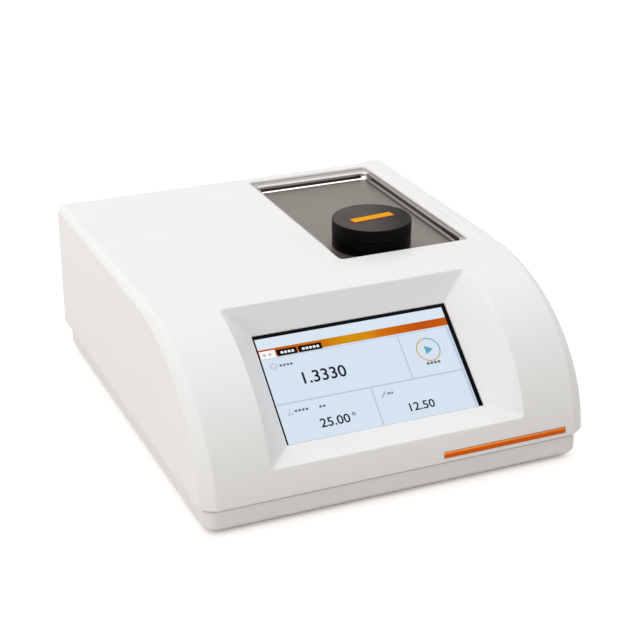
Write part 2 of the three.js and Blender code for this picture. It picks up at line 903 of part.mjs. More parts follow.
function addTray() {
  const x = trayLeft + trayOpening.width / 2;
  const y = front + trayOpening.front + trayLength / 2;
  const flangeTop = coverTop - cover.wall - fit.gap;
  const flange = plate(
    roundedShape(trayOpening.width + tray.rim * 2, trayLength + tray.rim * 2, tray.rimRadius),
    tray.sheet, x, y, flangeTop - tray.sheet,
  );
  const hole = post(
    prism.holeRadius, tray.sheet + fit.overrun * 2,
    chamberX, chamberY, trayFloor - tray.sheet - fit.overrun, segments.round,
  );
  const pan = joined(flange, wellForm(tray.sheet, 0));
  addMesh('sample_tray', surface(
    pan.subtract(solid(wellForm(0, fit.overrun))).subtract(solid(hole)),
  ), finish.steel);
}

function addChamber() {
  const c = chamber.chamfer;
  const top = chamber.height;
  const seal = chamber.sealSection;
  const groove = seal + fit.gap * 2;
  const grooveLow = top + (chamber.spigotHeight - groove) / 2;
  const ring = turned([
    [chamber.bore, 0],
    [chamber.radius - c, 0],
    [chamber.radius, c],
    [chamber.radius, top - c],
    [chamber.radius - c, top],
    [chamber.spigotRadius, top],
    [chamber.spigotRadius, grooveLow],
    [chamber.spigotRadius - groove, grooveLow],
    [chamber.spigotRadius - groove, grooveLow + groove],
    [chamber.spigotRadius, grooveLow + groove],
    [chamber.spigotRadius, top + chamber.spigotHeight],
    [chamber.bore, top + chamber.spigotHeight],
    [chamber.bore, 0],
  ]);
  const place = (mesh, z) => mesh.position.set(chamberX, chamberY, z);
  const ringFoot = trayFloor + fit.gap;
  place(addMesh('chamber_ring', ring, finish.black), ringFoot);
  const sealRadius = chamber.spigotRadius - fit.gap - seal / 2;
  const sealForm = new THREE.TorusGeometry(sealRadius, seal / 2, segments.corner, segments.round / 2);
  place(addMesh('chamber_seal', sealForm, finish.rubber), ringFoot + grooveLow + groove / 2);
  const lidFoot = ringFoot + top + fit.gap;
  const height = chamber.lidHeight;
  const skirt = chamber.spigotRadius + fit.gap;
  const lid = turned([
    [0, height - chamber.lidTopThickness],
    [chamber.bore, height - chamber.lidTopThickness],
    [chamber.bore, chamber.spigotHeight],
    [skirt, chamber.spigotHeight],
    [skirt, 0],
    [chamber.lidRadius - c, 0],
    [chamber.lidRadius, c],
    [chamber.lidRadius, height - c],
    [chamber.lidRadius - c, height],
    [0, height],
  ]);
  place(addMesh('chamber_lid', lid, finish.black), lidFoot);
  addMesh('lid_label', block(chamber.labelLength, chamber.labelWidth, chamber.labelThickness), finish.label)
    .position.set(chamberX + chamber.labelShiftX, chamberY + chamber.labelShiftY, lidFoot + height);
}

const mountTop = trayFloor + prism.mountRise;
const mountFlangeTop = trayFloor - tray.sheet - fit.gap;
const mountFoot = mountFlangeTop - prism.mountFlange;
const opticsTop = mountFoot - fit.gap;
const prismTop = mountTop - prism.dishDepth - prism.lip - fit.gap * 2 - prism.sealThickness;

function addPrism() {
  const neck = prism.holeRadius - fit.gap;
  const dishFloor = mountTop - prism.dishDepth;
  const lipFoot = dishFloor - prism.lip;
  const disc = solid(turned([
    [0, mountFoot],
    [prism.mountFlangeRadius, mountFoot],
    [prism.mountFlangeRadius, mountFlangeTop],
    [neck, mountFlangeTop],
    [neck, mountTop],
    [prism.dishRadius, mountTop],
    [prism.faceRadius, dishFloor],
    [0, dishFloor],
  ]));
  const eye = solid(post(prism.faceRadius, prism.lip + fit.overrun * 2, 0, 0, lipFoot - fit.overrun,
    segments.round / 2));
  const pocket = solid(block(prism.width + fit.gap * 2, prism.length + fit.gap * 2,
    lipFoot - mountFoot + fit.overrun, 0, 0, mountFoot - fit.overrun));
  const place = (mesh) => mesh.position.set(chamberX, chamberY, 0);
  place(addMesh('prism_mount', surface(disc.subtract(eye).subtract(pocket)), finish.steel));
  const sealInner = prism.faceRadius;
  const sealOuter = sealInner + prism.sealWidth;
  const sealFoot = prismTop + fit.gap;
  const ring = [
    [sealInner, sealFoot],
    [sealOuter, sealFoot],
    [sealOuter, sealFoot + prism.sealThickness],
    [sealInner, sealFoot + prism.sealThickness],
    [sealInner, sealFoot],
  ];
  place(addMesh('prism_seal', turned(ring, segments.round / 2), finish.rubber));
  const outline = polygon([
    [-prism.length / 2, 0],
    [-prism.tipLength / 2, -prism.height],
    [prism.tipLength / 2, -prism.height],
    [prism.length / 2, 0],
  ]);
  const body = plate(outline, prism.width).rotateX(Math.PI / 2).rotateZ(Math.PI / 2);
  place(addMesh('prism', body.translate(-prism.width / 2, 0, prismTop), finish.crystal));
}

// Optics block: the light runs down to the prism along one slanted bore and leaves along the other.

const boreTilt = Math.PI / 4;
const boreEnd = (optics.topLength / 2 + optics.brim) * Math.SQRT1_2;

// A form that stands on +Z, laid along the bore so that z is the distance from the prism. side is -1 or 1.
function alongBore(geometry, side) {
  return geometry.rotateX(Math.PI - side * boreTilt).translate(chamberX, chamberY, opticsTop);
}

function lensForm() {
  const half = optics.lensEdge / 2;
  const steps = segments.lens;
  const face = (sign) => Array.from({ length: steps + 1 }, (_, i) => {
    const share = sign > 0 ? 1 - i / steps : i / steps;
    return [optics.lensRadius * share, sign * (half + optics.lensBulge * (1 - share ** 2))];
  });
  return turned([...face(-1), ...face(1)], segments.small);
}

function addOptics() {
  const half = optics.topLength / 2;
  const floor = half - (optics.drop - optics.brim);
  const outline = polygon([
    [-half, 0],
    [-half, -optics.brim],
    [-floor, -optics.drop],
    [floor, -optics.drop],
    [half, -optics.brim],
    [half, 0],
  ]);
  const form = plate(outline, optics.width).rotateX(Math.PI / 2).rotateZ(Math.PI / 2);
  let body = solid(form.translate(chamberX - optics.width / 2, chamberY, opticsTop));
  for (const side of [-1, 1]) {
    body = body.subtract(solid(alongBore(
      post(optics.boreRadius, boreEnd + fit.overrun, 0, 0, 0, segments.small), side,
    )));
  }
  body = body.subtract(solid(block(
    prism.width + fit.gap * 2, prism.length + fit.gap * 2, prism.height + fit.overrun,
    chamberX, chamberY, prismTop - prism.height - fit.gap,
  )));
  addMesh('optics_housing', surface(body), finish.aluminium);
  const led = joined(
    post(optics.barrelRadius, optics.barrelLength, 0, 0, boreEnd - optics.barrelLength + fit.gap),
    post(optics.ledFlangeRadius, optics.ledFlange, 0, 0, boreEnd + fit.gap, segments.small * 2),
    post(optics.ledCapRadius, optics.ledCapHeight, 0, 0, boreEnd + fit.gap, segments.small * 2),
  );
  addMesh('light_source', alongBore(surface(led), -1), finish.black);
  const lensZ = optics.lensPlace;
  addMesh('collimator_lens', alongBore(lensForm().translate(0, 0, lensZ), -1), finish.crystal);
  addMesh('focusing_lens', alongBore(lensForm().translate(0, 0, lensZ), 1), finish.crystal);
  const side = optics.boardSide;
  addMesh('sensor_board', alongBore(
    block(side, side, optics.boardThickness, 0, 0, boreEnd + fit.gap), 1,
  ), finish.board);
  addMesh('image_sensor', alongBore(block(
    optics.chipWidth, optics.boreRadius * shares.sensorChip, optics.chipHeight, 0, 0,
    boreEnd + fit.gap - optics.chipHeight,
  ), 1), finish.black);
  addOpticsBracket();
}

function addOpticsBracket() {
  const sheet = optics.bracketSheet;
  const inner = optics.width + fit.gap * 2;
  const height = opticsTop - optics.bracketTopShort - baseFloor;
  const channel = solid(block(inner + sheet * 2, optics.bracketLength, height, chamberX, chamberY,
    baseFloor));
  const hollow = solid(block(inner, optics.bracketLength + fit.overrun * 2, height,
    chamberX, chamberY, baseFloor + sheet));
  const window = solid(block(
    sheet + fit.overrun * 2, optics.bracketWindow, height, chamberX + (inner + sheet) / 2, chamberY,
    opticsTop - cooling.plateDrop - optics.bracketWindow / 2,
  ));
  addMesh('optics_bracket', surface(channel.subtract(hollow).subtract(window)), finish.aluminium);
}

// Cooling: thermoelectric plate, finned heat sink and fan

function addCooling() {
  const middle = opticsTop - cooling.plateDrop;
  const plateLeft = chamberX + optics.width / 2 + fit.gap;
  addMesh('peltier_plate', block(
    cooling.plateThickness, cooling.plateSide, cooling.plateSide,
    plateLeft + cooling.plateThickness / 2, chamberY, middle - cooling.plateSide / 2,
  ), finish.ceramic);
  const sinkLeft = plateLeft + cooling.plateThickness + fit.gap;
  const outline = [[0, 0]];
  const pitch = (cooling.sinkHeight - cooling.finThickness) / (finCount - 1);
  for (let i = 0; i < finCount; i += 1) {
    const z = i * pitch;
    if (i > 0) outline.push([cooling.sinkBase, z]);
    outline.push([cooling.sinkDepth, z], [cooling.sinkDepth, z + cooling.finThickness]);
    if (i < finCount - 1) outline.push([cooling.sinkBase, z + cooling.finThickness]);
  }
  outline.push([0, cooling.sinkHeight]);
  const sink = plate(polygon(outline), cooling.sinkLength).rotateX(Math.PI / 2);
  addMesh('heat_sink', sink.translate(
    sinkLeft, chamberY + cooling.sinkLength / 2, middle - cooling.sinkHeight / 2,
  ), finish.aluminium);
}

const fanX = rightSide - cooling.fanRight;
const fanY = panelFace - rear.sheet - fit.gap - cooling.fanDepth; // inner face of the fan
const fanZ = coverBottom + rear.windowLow + rear.windowHeight / 2;

// The fan in its own frame: z runs from its inner face towards the rear panel.
function addFan() {
  const side = cooling.fanSide;
  const ring = solid(plate(roundedShape(side, side, cooling.strutWidth), cooling.fanDepth))
    .subtract(solid(post(cooling.fanBore, cooling.fanDepth + fit.overrun * 2, 0, 0, -fit.overrun,
      segments.round)));
  const hub = post(cooling.hubRadius, cooling.hubDepth, 0, 0, 0, segments.small * 2);
  const shaftLength = cooling.fanDepth * shares.shaft;
  const shaft = post(cooling.shaftRadius, shaftLength);
  const struts = [0, 1].map((turn) => block(side - cooling.strutWidth, cooling.strutWidth, cooling.hubDepth)
    .rotateZ(turn * Math.PI / 2 + Math.PI / 4));
  const circle = solid(post((cooling.fanBore + side / 2) / 2, cooling.hubDepth, 0, 0, 0, segments.round));
  const spider = joined(hub, ...struts).intersect(circle);
  const place = (geometry) => geometry.rotateX(-Math.PI / 2).translate(fanX, fanY, fanZ);
  addMesh('fan_frame', place(surface(ring.add(spider).add(solid(shaft)))), finish.black);
  const low = cooling.hubDepth + fit.gap * 2;
  const high = cooling.fanDepth - fit.gap * 3;
  const bore = cooling.shaftRadius + cooling.shaftClearance;
  const boreTop = shaftLength + fit.gap * 2;
  const rotorHub = turned([
    [0, boreTop],
    [bore, boreTop],
    [bore, low],
    [cooling.hubRadius, low],
    [cooling.hubRadius, high],
    [0, high],
  ], segments.small * 2);
  const blades = Array.from({ length: bladeCount }, (_, i) => bladeForm(low, high)
    .rotateZ(i / bladeCount * Math.PI * 2));
  addMesh('fan_rotor', place(surface(joined(rotorHub, ...blades))), finish.black);
}

// One fan blade: sections from the hub out to the tip, each leant along the axis.
function bladeForm(low, high) {
  const steps = segments.slot;
  const inner = cooling.hubRadius * shares.bladeRoot;
  const sections = [];
  for (let i = 0; i <= steps; i += 1) {
    const radius = THREE.MathUtils.lerp(inner, cooling.bladeRadius, i / steps);
    const sweep = i / steps * THREE.MathUtils.degToRad(bladeSweep);
    const lean = cooling.bladeLean * radius / cooling.bladeRadius;
    const half = cooling.bladeThickness / 2;
    const point = (y, z) => new THREE.Vector3(Math.sqrt(radius ** 2 - y ** 2), y, z)
      .applyAxisAngle(new THREE.Vector3(0, 0, 1), sweep);
    sections.push([
      point(-lean - half, low + half),
      point(-lean + half, low + half),
      point(lean + half, high - half),
      point(lean - half, high - half),
    ]);
  }
  return loft(sections);
}

// Rear panel with what is set into it. Places are measured from the middle of the panel, z from the cover's
// lower edge.

function onPanel(geometry, x, z, out = 0) {
  return geometry.rotateX(Math.PI / 2).translate(x, panelFace + out, coverBottom + z);
}

// A block whose outer face stands `out` in front of the panel's face and which reaches `depth` inwards.
function setIn(width, height, depth, x, z, out = 0) {
  return block(width, depth, height, x, panelFace + out - depth / 2, coverBottom + z - height / 2);
}

function inletOutline(width, height, cut) {
  return polygon([
    [-width / 2, -height / 2],
    [width / 2, -height / 2],
    [width / 2, height / 2 - cut],
    [width / 2 - cut, height / 2],
    [cut - width / 2, height / 2],
    [-width / 2, height / 2 - cut],
  ]);
}

function serialShape(grow) {
  const x = ports.serialWidth / 2 + grow;
  const y = ports.serialHeight / 2 + grow;
  return polygon([
    [-x + ports.serialTaper, -y],
    [x - ports.serialTaper, -y],
    [x, y],
    [-x, y],
  ]);
}

function addRearPanel() {
  const low = baseLip + fit.gap;
  const high = coverBottom + rear.windowLow + rear.windowHeight + rear.overlap;
  const width = rearWindowWidth + rear.overlap * 2;
  let sheet = solid(block(width, rear.sheet, high - low, 0, panelFace - rear.sheet / 2, low));
  const through = rear.sheet + fit.overrun * 2;
  const cut = (w, h, x, z) => solid(setIn(w + fit.gap * 2, h + fit.gap * 2, through, x, z, fit.overrun));
  const holes = [
    cut(inlet.bodyWidth, inlet.bodyHeight, inletX, inlet.z),
    cut(power.bodyWidth, power.bodyHeight, powerX, power.z),
    cut(ports.usbWidth, ports.usbHeight, usbX, ports.usbZ),
    cut(ports.usbWidth, ports.usbHeight, usbX + ports.usbPitch, ports.usbZ),
    solid(onPanel(plate(serialShape(fit.gap), through), serialX, ports.serialZ, fit.overrun)),
  ];
  const grilleRadius = cooling.fanBore - rear.slotHeight / 2;
  const rows = Math.floor(grilleRadius / rear.slotPitch);
  for (let row = -rows; row <= rows; row += 1) {
    const z = row * rear.slotPitch;
    const length = 2 * Math.sqrt(grilleRadius ** 2 - z ** 2);
    const outline = roundedShape(length, rear.slotHeight, rear.slotHeight * shares.slotRound);
    const slot = plate(outline, through, 0, 0, 0, segments.slot);
    holes.push(solid(onPanel(slot, fanX, fanZ - coverBottom + z, fit.overrun)));
  }
  for (const hole of holes) sheet = sheet.subtract(hole);
  addMesh('rear_panel', surface(sheet), finish.panel);
}

function addInlet() {
  const x = inletX;
  const { z } = inlet;
  const socketZ = z + inlet.socketRise;
  const drawerZ = z - inlet.drawerDrop;
  const socketFloor = inlet.flange - inlet.socketDepth;
  let body = solid(onPanel(plate(roundedShape(inlet.flangeWidth, inlet.flangeHeight, inlet.cornerCut),
    inlet.flange - fit.gap), x, z, inlet.flange));
  body = body.add(solid(setIn(inlet.bodyWidth, inlet.bodyHeight, inlet.bodyDepth, x, z, fit.gap * 2)));
  const socket = plate(inletOutline(inlet.socketWidth, inlet.socketHeight, inlet.cornerCut),
    inlet.socketDepth + fit.overrun);
  body = body.subtract(solid(onPanel(socket, x, socketZ, inlet.flange + fit.overrun)));
  body = body.subtract(solid(setIn(
    inlet.drawerWidth + fit.gap * 2, inlet.drawerHeight + fit.gap * 2, inlet.drawerDepth + fit.overrun,
    x, drawerZ, inlet.flange + fit.overrun,
  )));
  const bladeOut = socketFloor + inlet.socketDepth * shares.inletBlade;
  const blades = {
    inlet_blade_left: [-inlet.bladeSpread, -inlet.earthRise / 2],
    inlet_blade_right: [inlet.bladeSpread, -inlet.earthRise / 2],
    inlet_blade_earth: [0, inlet.earthRise / 2],
  };
  for (const [name, [bx, bz]] of Object.entries(blades)) {
    const slot = setIn(inlet.bladeWidth + fit.gap * 2, inlet.bladeHeight + fit.gap * 2,
      inlet.bodyDepth + fit.overrun, x + bx, socketZ + bz);
    body = body.subtract(solid(slot));
    addMesh(name, setIn(inlet.bladeWidth, inlet.bladeHeight, inlet.bladeLength, x + bx, socketZ + bz,
      bladeOut), finish.brass);
  }
  addMesh('power_inlet', surface(body), finish.black);
  const box = solid(setIn(inlet.drawerWidth, inlet.drawerHeight, inlet.drawerDepth - fit.gap, x, drawerZ,
    inlet.flange));
  const tub = solid(block(
    inlet.drawerWidth - inlet.drawerWall * 2,
    inlet.drawerDepth - inlet.drawerFace - inlet.drawerWall - fit.gap,
    inlet.drawerHeight, x,
    panelFace + inlet.flange - (inlet.drawerDepth + inlet.drawerFace - inlet.drawerWall) / 2,
    coverBottom + drawerZ - inlet.drawerHeight / 2 + inlet.drawerWall,
  ));
  const grip = solid(setIn(inlet.drawerWidth / 2, inlet.drawerWall, inlet.drawerGrip + inlet.drawerWall,
    x, drawerZ + inlet.drawerHeight / 2 - inlet.drawerWall, inlet.flange + inlet.drawerGrip));
  addMesh('fuse_drawer', surface(box.subtract(tub).add(grip)), finish.black);
}

const rockerOut = power.flange - power.rockerCrown / 2; // the rocker's axis in front of the panel's face

function addSwitch() {
  const x = powerX;
  const { z } = power;
  const wall = power.wall;
  let body = solid(onPanel(plate(roundedShape(power.flangeWidth, power.flangeHeight, wall),
    power.flange - fit.gap), x, z, power.flange));
  body = body.add(solid(setIn(power.bodyWidth, power.bodyHeight, power.bodyDepth, x, z, fit.gap * 2)));
  const hollowWidth = power.bodyWidth - wall * 2;
  const hollowHeight = power.bodyHeight - wall * 2;
  body = body.subtract(solid(setIn(hollowWidth, hollowHeight, power.bodyDepth - wall + fit.overrun, x, z,
    power.flange + fit.overrun)));
  const axle = (radius, length) => post(radius, length, 0, 0, -length / 2).rotateY(Math.PI / 2)
    .translate(x, panelFace + rockerOut - power.rockerDepth / 2, coverBottom + z);
  const pinSpan = hollowWidth + power.pinLength * 2;
  body = body.subtract(solid(axle(power.pinRadius + fit.gap, pinSpan + fit.gap)));
  addMesh('switch_body', surface(body), finish.black);
  const half = power.rockerHeight / 2;
  const crown = power.rockerCrown;
  const outline = polygon([
    [-half, crown],
    [0, 0],
    [half, crown],
    [half * shares.rockerFoot, -power.rockerDepth],
    [-half * shares.rockerFoot, -power.rockerDepth],
  ]);
  const rocker = joined(
    plate(outline, hollowWidth - fit.gap * 2).rotateX(Math.PI / 2).rotateZ(Math.PI / 2)
      .rotateX(-Math.PI / 2)
      .translate(fit.gap - hollowWidth / 2, power.rockerDepth / 2, 0),
    post(power.pinRadius, pinSpan - fit.gap, 0, 0, (fit.gap - pinSpan) / 2).rotateY(Math.PI / 2),
  );
  const mesh = addMesh('switch_rocker', surface(rocker), finish.black);
  mesh.position.set(x, panelFace + rockerOut - power.rockerDepth / 2, coverBottom + z);
  mesh.rotation.x = THREE.MathUtils.degToRad(-rockerTilt);
}

function addPorts() {
  const names = { usb_port_left: 0, usb_port_right: 1 };
  for (const [name, index] of Object.entries(names)) {
    const x = usbX + ports.usbPitch * index;
    const shell = solid(setIn(ports.usbWidth, ports.usbHeight, ports.usbDepth, x, ports.usbZ, ports.usbOut));
    const mouth = solid(setIn(ports.usbWidth - ports.usbWall * 2, ports.usbHeight - ports.usbWall * 2,
      ports.usbDepth * shares.usbMouth + fit.overrun, x, ports.usbZ, ports.usbOut + fit.overrun));
    const tongue = solid(setIn(ports.usbTongueWidth, ports.usbTongue, ports.usbDepth - ports.usbOut * 2,
      x, ports.usbZ + ports.usbTongue / 2, -ports.usbOut));
    addMesh(name, surface(shell.subtract(mouth).add(tongue)), finish.steel);
  }
  const plateOut = ports.serialPlate + fit.gap;
  const face = solid(onPanel(plate(
    roundedShape(ports.serialPlateWidth, ports.serialPlateHeight, ports.serialPlate), ports.serialPlate,
  ), serialX, ports.serialZ, plateOut));
  const shroud = solid(onPanel(plate(serialShape(0), ports.serialOut + ports.serialBody),
    serialX, ports.serialZ, ports.serialOut));
  addMesh('serial_port', surface(face.add(shroud)), finish.steel);
}

// Electronics on the base

function addBoards() {
  const x = boardLeft + boardWidth / 2;
  const y = boardFront + boardLength / 2;
  const z = baseFloor + board.rise;
  const inset = board.postInset;
  const corners = [[-1, -1], [1, -1], [-1, 1], [1, 1]];
  corners.forEach(([sideX, sideY], i) => {
    const px = x + sideX * (boardWidth / 2 - inset);
    const py = y + sideY * (boardLength / 2 - inset);
    addMesh(`standoff_${i + 1}`, post(board.postRadius, board.rise, px, py, baseFloor, 6), finish.brass);
  });
  const chip = boardWidth * shares.chip;
  const chipRow = boardLength * shares.chipRow;
  const top = z + board.thickness;
  const parts = joined(
    block(boardWidth, boardLength, board.thickness, x, y, z),
    block(chip, chipRow, board.thickness * 3, x - chip, y, z),
    block(chip / 2, chipRow * 2, board.rise + board.thickness, x + chip * 2, y + chipRow / 2, z),
    block(chip * 3, chipRow / 3, board.rise + board.thickness, x - chip / 2, y + chipRow * 3 / 2, z),
    post(chip / 4, chip / 2 + board.thickness, x + chip, y - chipRow, z),
    post(chip / 4, chip / 2 + board.thickness, x + chip / 3, y - chipRow, z),
  );
  addMesh('main_board', surface(parts), finish.board);
  const canFoot = baseFloor + supply.ribHeight + fit.gap;
  const sx = supplyLeft + supply.width / 2;
  const sy = supplyFront + supply.length / 2;
  const terminals = top - baseFloor;
  const can = joined(
    block(supply.width, supply.length, supply.height, sx, sy, canFoot),
    block(supply.width * shares.terminals, terminals, terminals, sx,
      sy - (supply.length + terminals) / 2 + supply.sheet, canFoot),
  );
  addMesh('power_supply', surface(can), finish.aluminium);
}

addMesh('base_tray', surface(buildBase()), finish.housing);
addMesh('top_cover', surface(buildCover()), finish.housing);
addFeet();
addScreen();
addStrip();
addTray();
addChamber();
addPrism();
addOptics();
addCooling();
addFan();
addRearPanel();
addInlet();
addSwitch();
addPorts();
addBoards();

export default group;
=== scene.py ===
"""Looks of a bench refractometer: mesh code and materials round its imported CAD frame.

Lengths are millimetres in the CAD frame (+Z up, the front faces -Y). piece() turns them into metres.
"""

import math
from collections import namedtuple

import bmesh
import bpy
from mathutils import Matrix, Vector


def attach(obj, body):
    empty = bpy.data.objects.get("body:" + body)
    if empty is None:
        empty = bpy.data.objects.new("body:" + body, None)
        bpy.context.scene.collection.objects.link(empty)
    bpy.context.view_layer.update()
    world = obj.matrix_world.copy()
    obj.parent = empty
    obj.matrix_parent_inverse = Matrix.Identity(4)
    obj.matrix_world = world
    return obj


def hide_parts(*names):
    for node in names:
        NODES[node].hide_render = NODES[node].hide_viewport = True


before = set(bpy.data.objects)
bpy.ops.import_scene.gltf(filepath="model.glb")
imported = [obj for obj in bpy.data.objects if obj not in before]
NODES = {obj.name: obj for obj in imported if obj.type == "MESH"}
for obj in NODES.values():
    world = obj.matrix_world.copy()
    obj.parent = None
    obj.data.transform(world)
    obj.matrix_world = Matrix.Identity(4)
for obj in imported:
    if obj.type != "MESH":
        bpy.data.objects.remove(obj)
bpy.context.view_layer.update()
MM = 0.001
QUARTER = math.pi / 2
TURN = math.pi * 2

# Sizes taken over from the solids

WIDTH, DEPTH = 308.0, 365.0
HALF = WIDTH / 2
FRONT, BACK = -DEPTH / 2, DEPTH / 2
BASE_Z, COVER_Z, TOP_Z = 4.0, 22.5, 131.0
REACH, SINK = 138.6, 2.4  # the nose's depth, and how far its centre lies under the cover's lower edge
CENTRE_Z = COVER_Z - SINK
NOSE_H = TOP_Z - CENTRE_Z
REAR_R = 8.0
PANEL_Y = 172.75
TRAY_FRONT, TRAY_Z, FLANGE_Z = FRONT + 151, 123.0, 129.3
CHAMBER = (61.5, 6.5)

# Materials


def node(tree, kind, inputs=(), **settings):
    """A new shader node. Each input is a socket with a plain value or another node's output."""
    made = tree.nodes.new("ShaderNode" + kind)
    for key, value in settings.items():
        setattr(made, key, value)
    for socket, value in inputs:
        if isinstance(value, bpy.types.NodeSocket):
            tree.links.new(value, made.inputs[socket])
        else:
            made.inputs[socket].default_value = value
    return made


def new_material(name):
    made = bpy.data.materials.new(name)
    made.use_nodes = True
    tree = made.node_tree
    return made, tree, next(n for n in tree.nodes if n.type == "BSDF_PRINCIPLED")


def object_coordinates(tree):
    return node(tree, "TexCoord").outputs["Object"]


def noise(tree, scale, detail=3.0, stretch=(1, 1, 1)):
    mapping = node(tree, "Mapping", [("Vector", object_coordinates(tree)), ("Scale", stretch)])
    inputs = [("Vector", mapping.outputs["Vector"]), ("Scale", scale), ("Detail", detail)]
    return node(tree, "TexNoise", inputs).outputs["Fac"]


def ranged(tree, value, low, high):
    """Spreads a noise, which mostly stays within 0.3 to 0.7, from low to high."""
    inputs = [("Value", value), ("From Min", 0.3), ("From Max", 0.7), ("To Min", low), ("To Max", high)]
    return node(tree, "MapRange", inputs).outputs["Result"]


def varied(tree, colour, blotch, scale):
    """A colour with slow variation by a small share of itself."""
    low = [c * (1 - blotch) for c in colour] + [1]
    high = [min(1.0, c * (1 + blotch)) for c in colour] + [1]
    factor = ranged(tree, noise(tree, scale), 0, 1)
    return node(tree, "Mix", [("A", low), ("B", high), ("Factor", factor)], data_type="RGBA").outputs["Result"]


def ramp(tree, factor, stops):
    """A colour ramp from (position, colour) stops."""
    made = node(tree, "ValToRGB", [("Fac", factor)])
    elements = made.color_ramp.elements
    while len(elements) < len(stops):
        elements.new(0.5)
    for element, (place, colour) in zip(elements, stops):
        element.position = place
        element.color = (*colour, 1)
    return made.outputs["Color"]


def material(name, colour, rough, metal=0.0, blotch=0.02, blotch_scale=22, rough_by=0.04, grain=900,
             bump=0.1, stretch=(1, 1, 1), see_through=0.0, ior=1.5, anisotropy=0.0, gloss=0.5):
    """A procedural finish: slow colour variation, varied roughness and a fine grain as bump."""
    made, tree, shader = new_material(name)
    fine = noise(tree, grain, 2.0, stretch)
    roughness = ranged(tree, fine, max(0.01, rough - rough_by), rough + rough_by)
    tree.links.new(varied(tree, colour, blotch, blotch_scale), shader.inputs["Base Color"])
    tree.links.new(roughness, shader.inputs["Roughness"])
    if bump:
        relief = node(tree, "Bump", [("Height", fine), ("Strength", bump), ("Distance", 0.0001)])
        tree.links.new(relief.outputs["Normal"], shader.inputs["Normal"])
    for socket, value in (("Metallic", metal), ("IOR", ior), ("Anisotropic", anisotropy),
                          ("Transmission Weight", see_through), ("Specular IOR Level", gloss)):
        shader.inputs[socket].default_value = value
    return made


def sheet_steel(name, colour, rough, blotch=0.04, rough_by=0.04):
    return material(name, colour, rough, metal=1.0, blotch=blotch, rough_by=rough_by, grain=300, bump=0.02)


def paint_shade_across(look, start, end, level):
    """Paints shade into a finish: its colour falls from full at one point, in metres, to a share of it at another.
    """
    tree = look.node_tree
    shader = next(n for n in tree.nodes if n.type == "BSDF_PRINCIPLED")
    span = Vector(end) - Vector(start)
    offset = Vector(start).dot(span) / span.length_squared
    along = node(tree, "VectorMath", [(0, object_coordinates(tree)), (1, span / span.length_squared)],
                 operation="DOT_PRODUCT")
    fall = node(tree, "MapRange", [("Value", along.outputs["Value"]), ("From Min", offset),
                                   ("From Max", offset + 1), ("To Min", 1.0), ("To Max", level)])
    colour = shader.inputs["Base Color"].links[0].from_socket
    scaled = node(tree, "VectorMath", [(0, colour), ("Scale", fall.outputs["Result"])], operation="SCALE")
    tree.links.new(scaled.outputs["Vector"], shader.inputs["Base Color"])


HOUSING = material("housing_plastic", (0.86, 0.852, 0.84), 0.33, blotch=0.006, grain=1400, bump=0.04, gloss=0.22)
BASE = material("base_plastic", (0.835, 0.815, 0.8), 0.4, blotch=0.008, rough_by=0.05, grain=1400, bump=0.06,
                gloss=0.3)
FLOOR_STEEL = material("tray_floor_steel", (0.222, 0.2, 0.18), 0.5, metal=1.0, blotch=0.03, blotch_scale=14,
                       rough_by=0.05, grain=420, bump=0.05, stretch=(6, 0.25, 6))
# painted reflections on the tray's sheet: lighter and darker copies of one steel that stand in for its highlights,
# grey bands and dark bands
PAINTED_HIGHLIGHT_STEEL = sheet_steel("tray_steel_painted_highlight", (0.72, 0.7, 0.68), 0.1, 0.02, 0.02)
PAINTED_DARK_REFLECTION_STEEL = sheet_steel("tray_steel_dark_painted_reflection", (0.035, 0.03, 0.028), 0.08, 0.05, 0.02)
PAINTED_GREY_REFLECTION_STEEL = sheet_steel("tray_steel_grey_painted_reflection", (0.2, 0.182, 0.166), 0.12, 0.03, 0.03)
PAINTED_DIM_REFLECTION_STEEL = sheet_steel("tray_steel_dim_painted_reflection", (0.075, 0.064, 0.056), 0.14, 0.04, 0.03)
PAINTED_PALE_REFLECTION_STEEL = sheet_steel("tray_steel_pale_painted_reflection", (0.47, 0.45, 0.43), 0.22)
PAINTED_LEFT_REFLECTION_STEEL = sheet_steel("tray_steel_left_painted_reflection", (0.37, 0.34, 0.325), 0.2)
PAINTED_RIGHT_REFLECTION_STEEL = sheet_steel("tray_steel_right_painted_reflection", (0.29, 0.265, 0.245), 0.2)
MOUNT = material("mount_steel", (0.48, 0.47, 0.45), 0.2, metal=1.0, blotch=0.03, grain=700, bump=0.06,
                 anisotropy=0.4)
SATIN_BLACK = material("satin_black", (0.002, 0.0018, 0.002), 0.42, blotch=0.08, rough_by=0.05, grain=1600,
                       bump=0.06, gloss=0.05)
GLOSS_BLACK = material("gloss_black", (0.0015, 0.0015, 0.0015), 0.4, blotch=0.08, grain=1200, bump=0.03,
                       gloss=0.05)
LID_TOP = material("lid_top_grain_and_painted_shade", (0.078, 0.069, 0.062), 0.62, blotch=0.1, rough_by=0.1, grain=2400, bump=0.5,
                   gloss=0.08)
# painted shade: the lid's top falls darker towards its right front, over its real grain
paint_shade_across(LID_TOP, (0.06, 0.007, 0), (0.084, -0.003, 0), 0.25)
RUBBER = material("black_rubber", (0.02, 0.02, 0.02), 0.8, blotch=0.15, grain=1800, bump=0.5)
ORANGE = material("accent_orange", (0.78, 0.115, 0.0015), 0.2, blotch=0.08, blotch_scale=18, rough_by=0.03,
                  bump=0.02, gloss=0.05)
# painted highlight: a lighter, blotchier orange for the accent strip's sloping upper edge
PAINTED_HIGHLIGHT_ORANGE = material("accent_orange_painted_highlight", (0.96, 0.3, 0.05), 0.2, blotch=0.16, blotch_scale=30,
                       rough_by=0.03, bump=0.02)
LABEL = material("label_orange", (0.84, 0.35, 0.003), 0.45, blotch=0.05, blotch_scale=60, grain=2200, bump=0.12,
                 gloss=0.03)
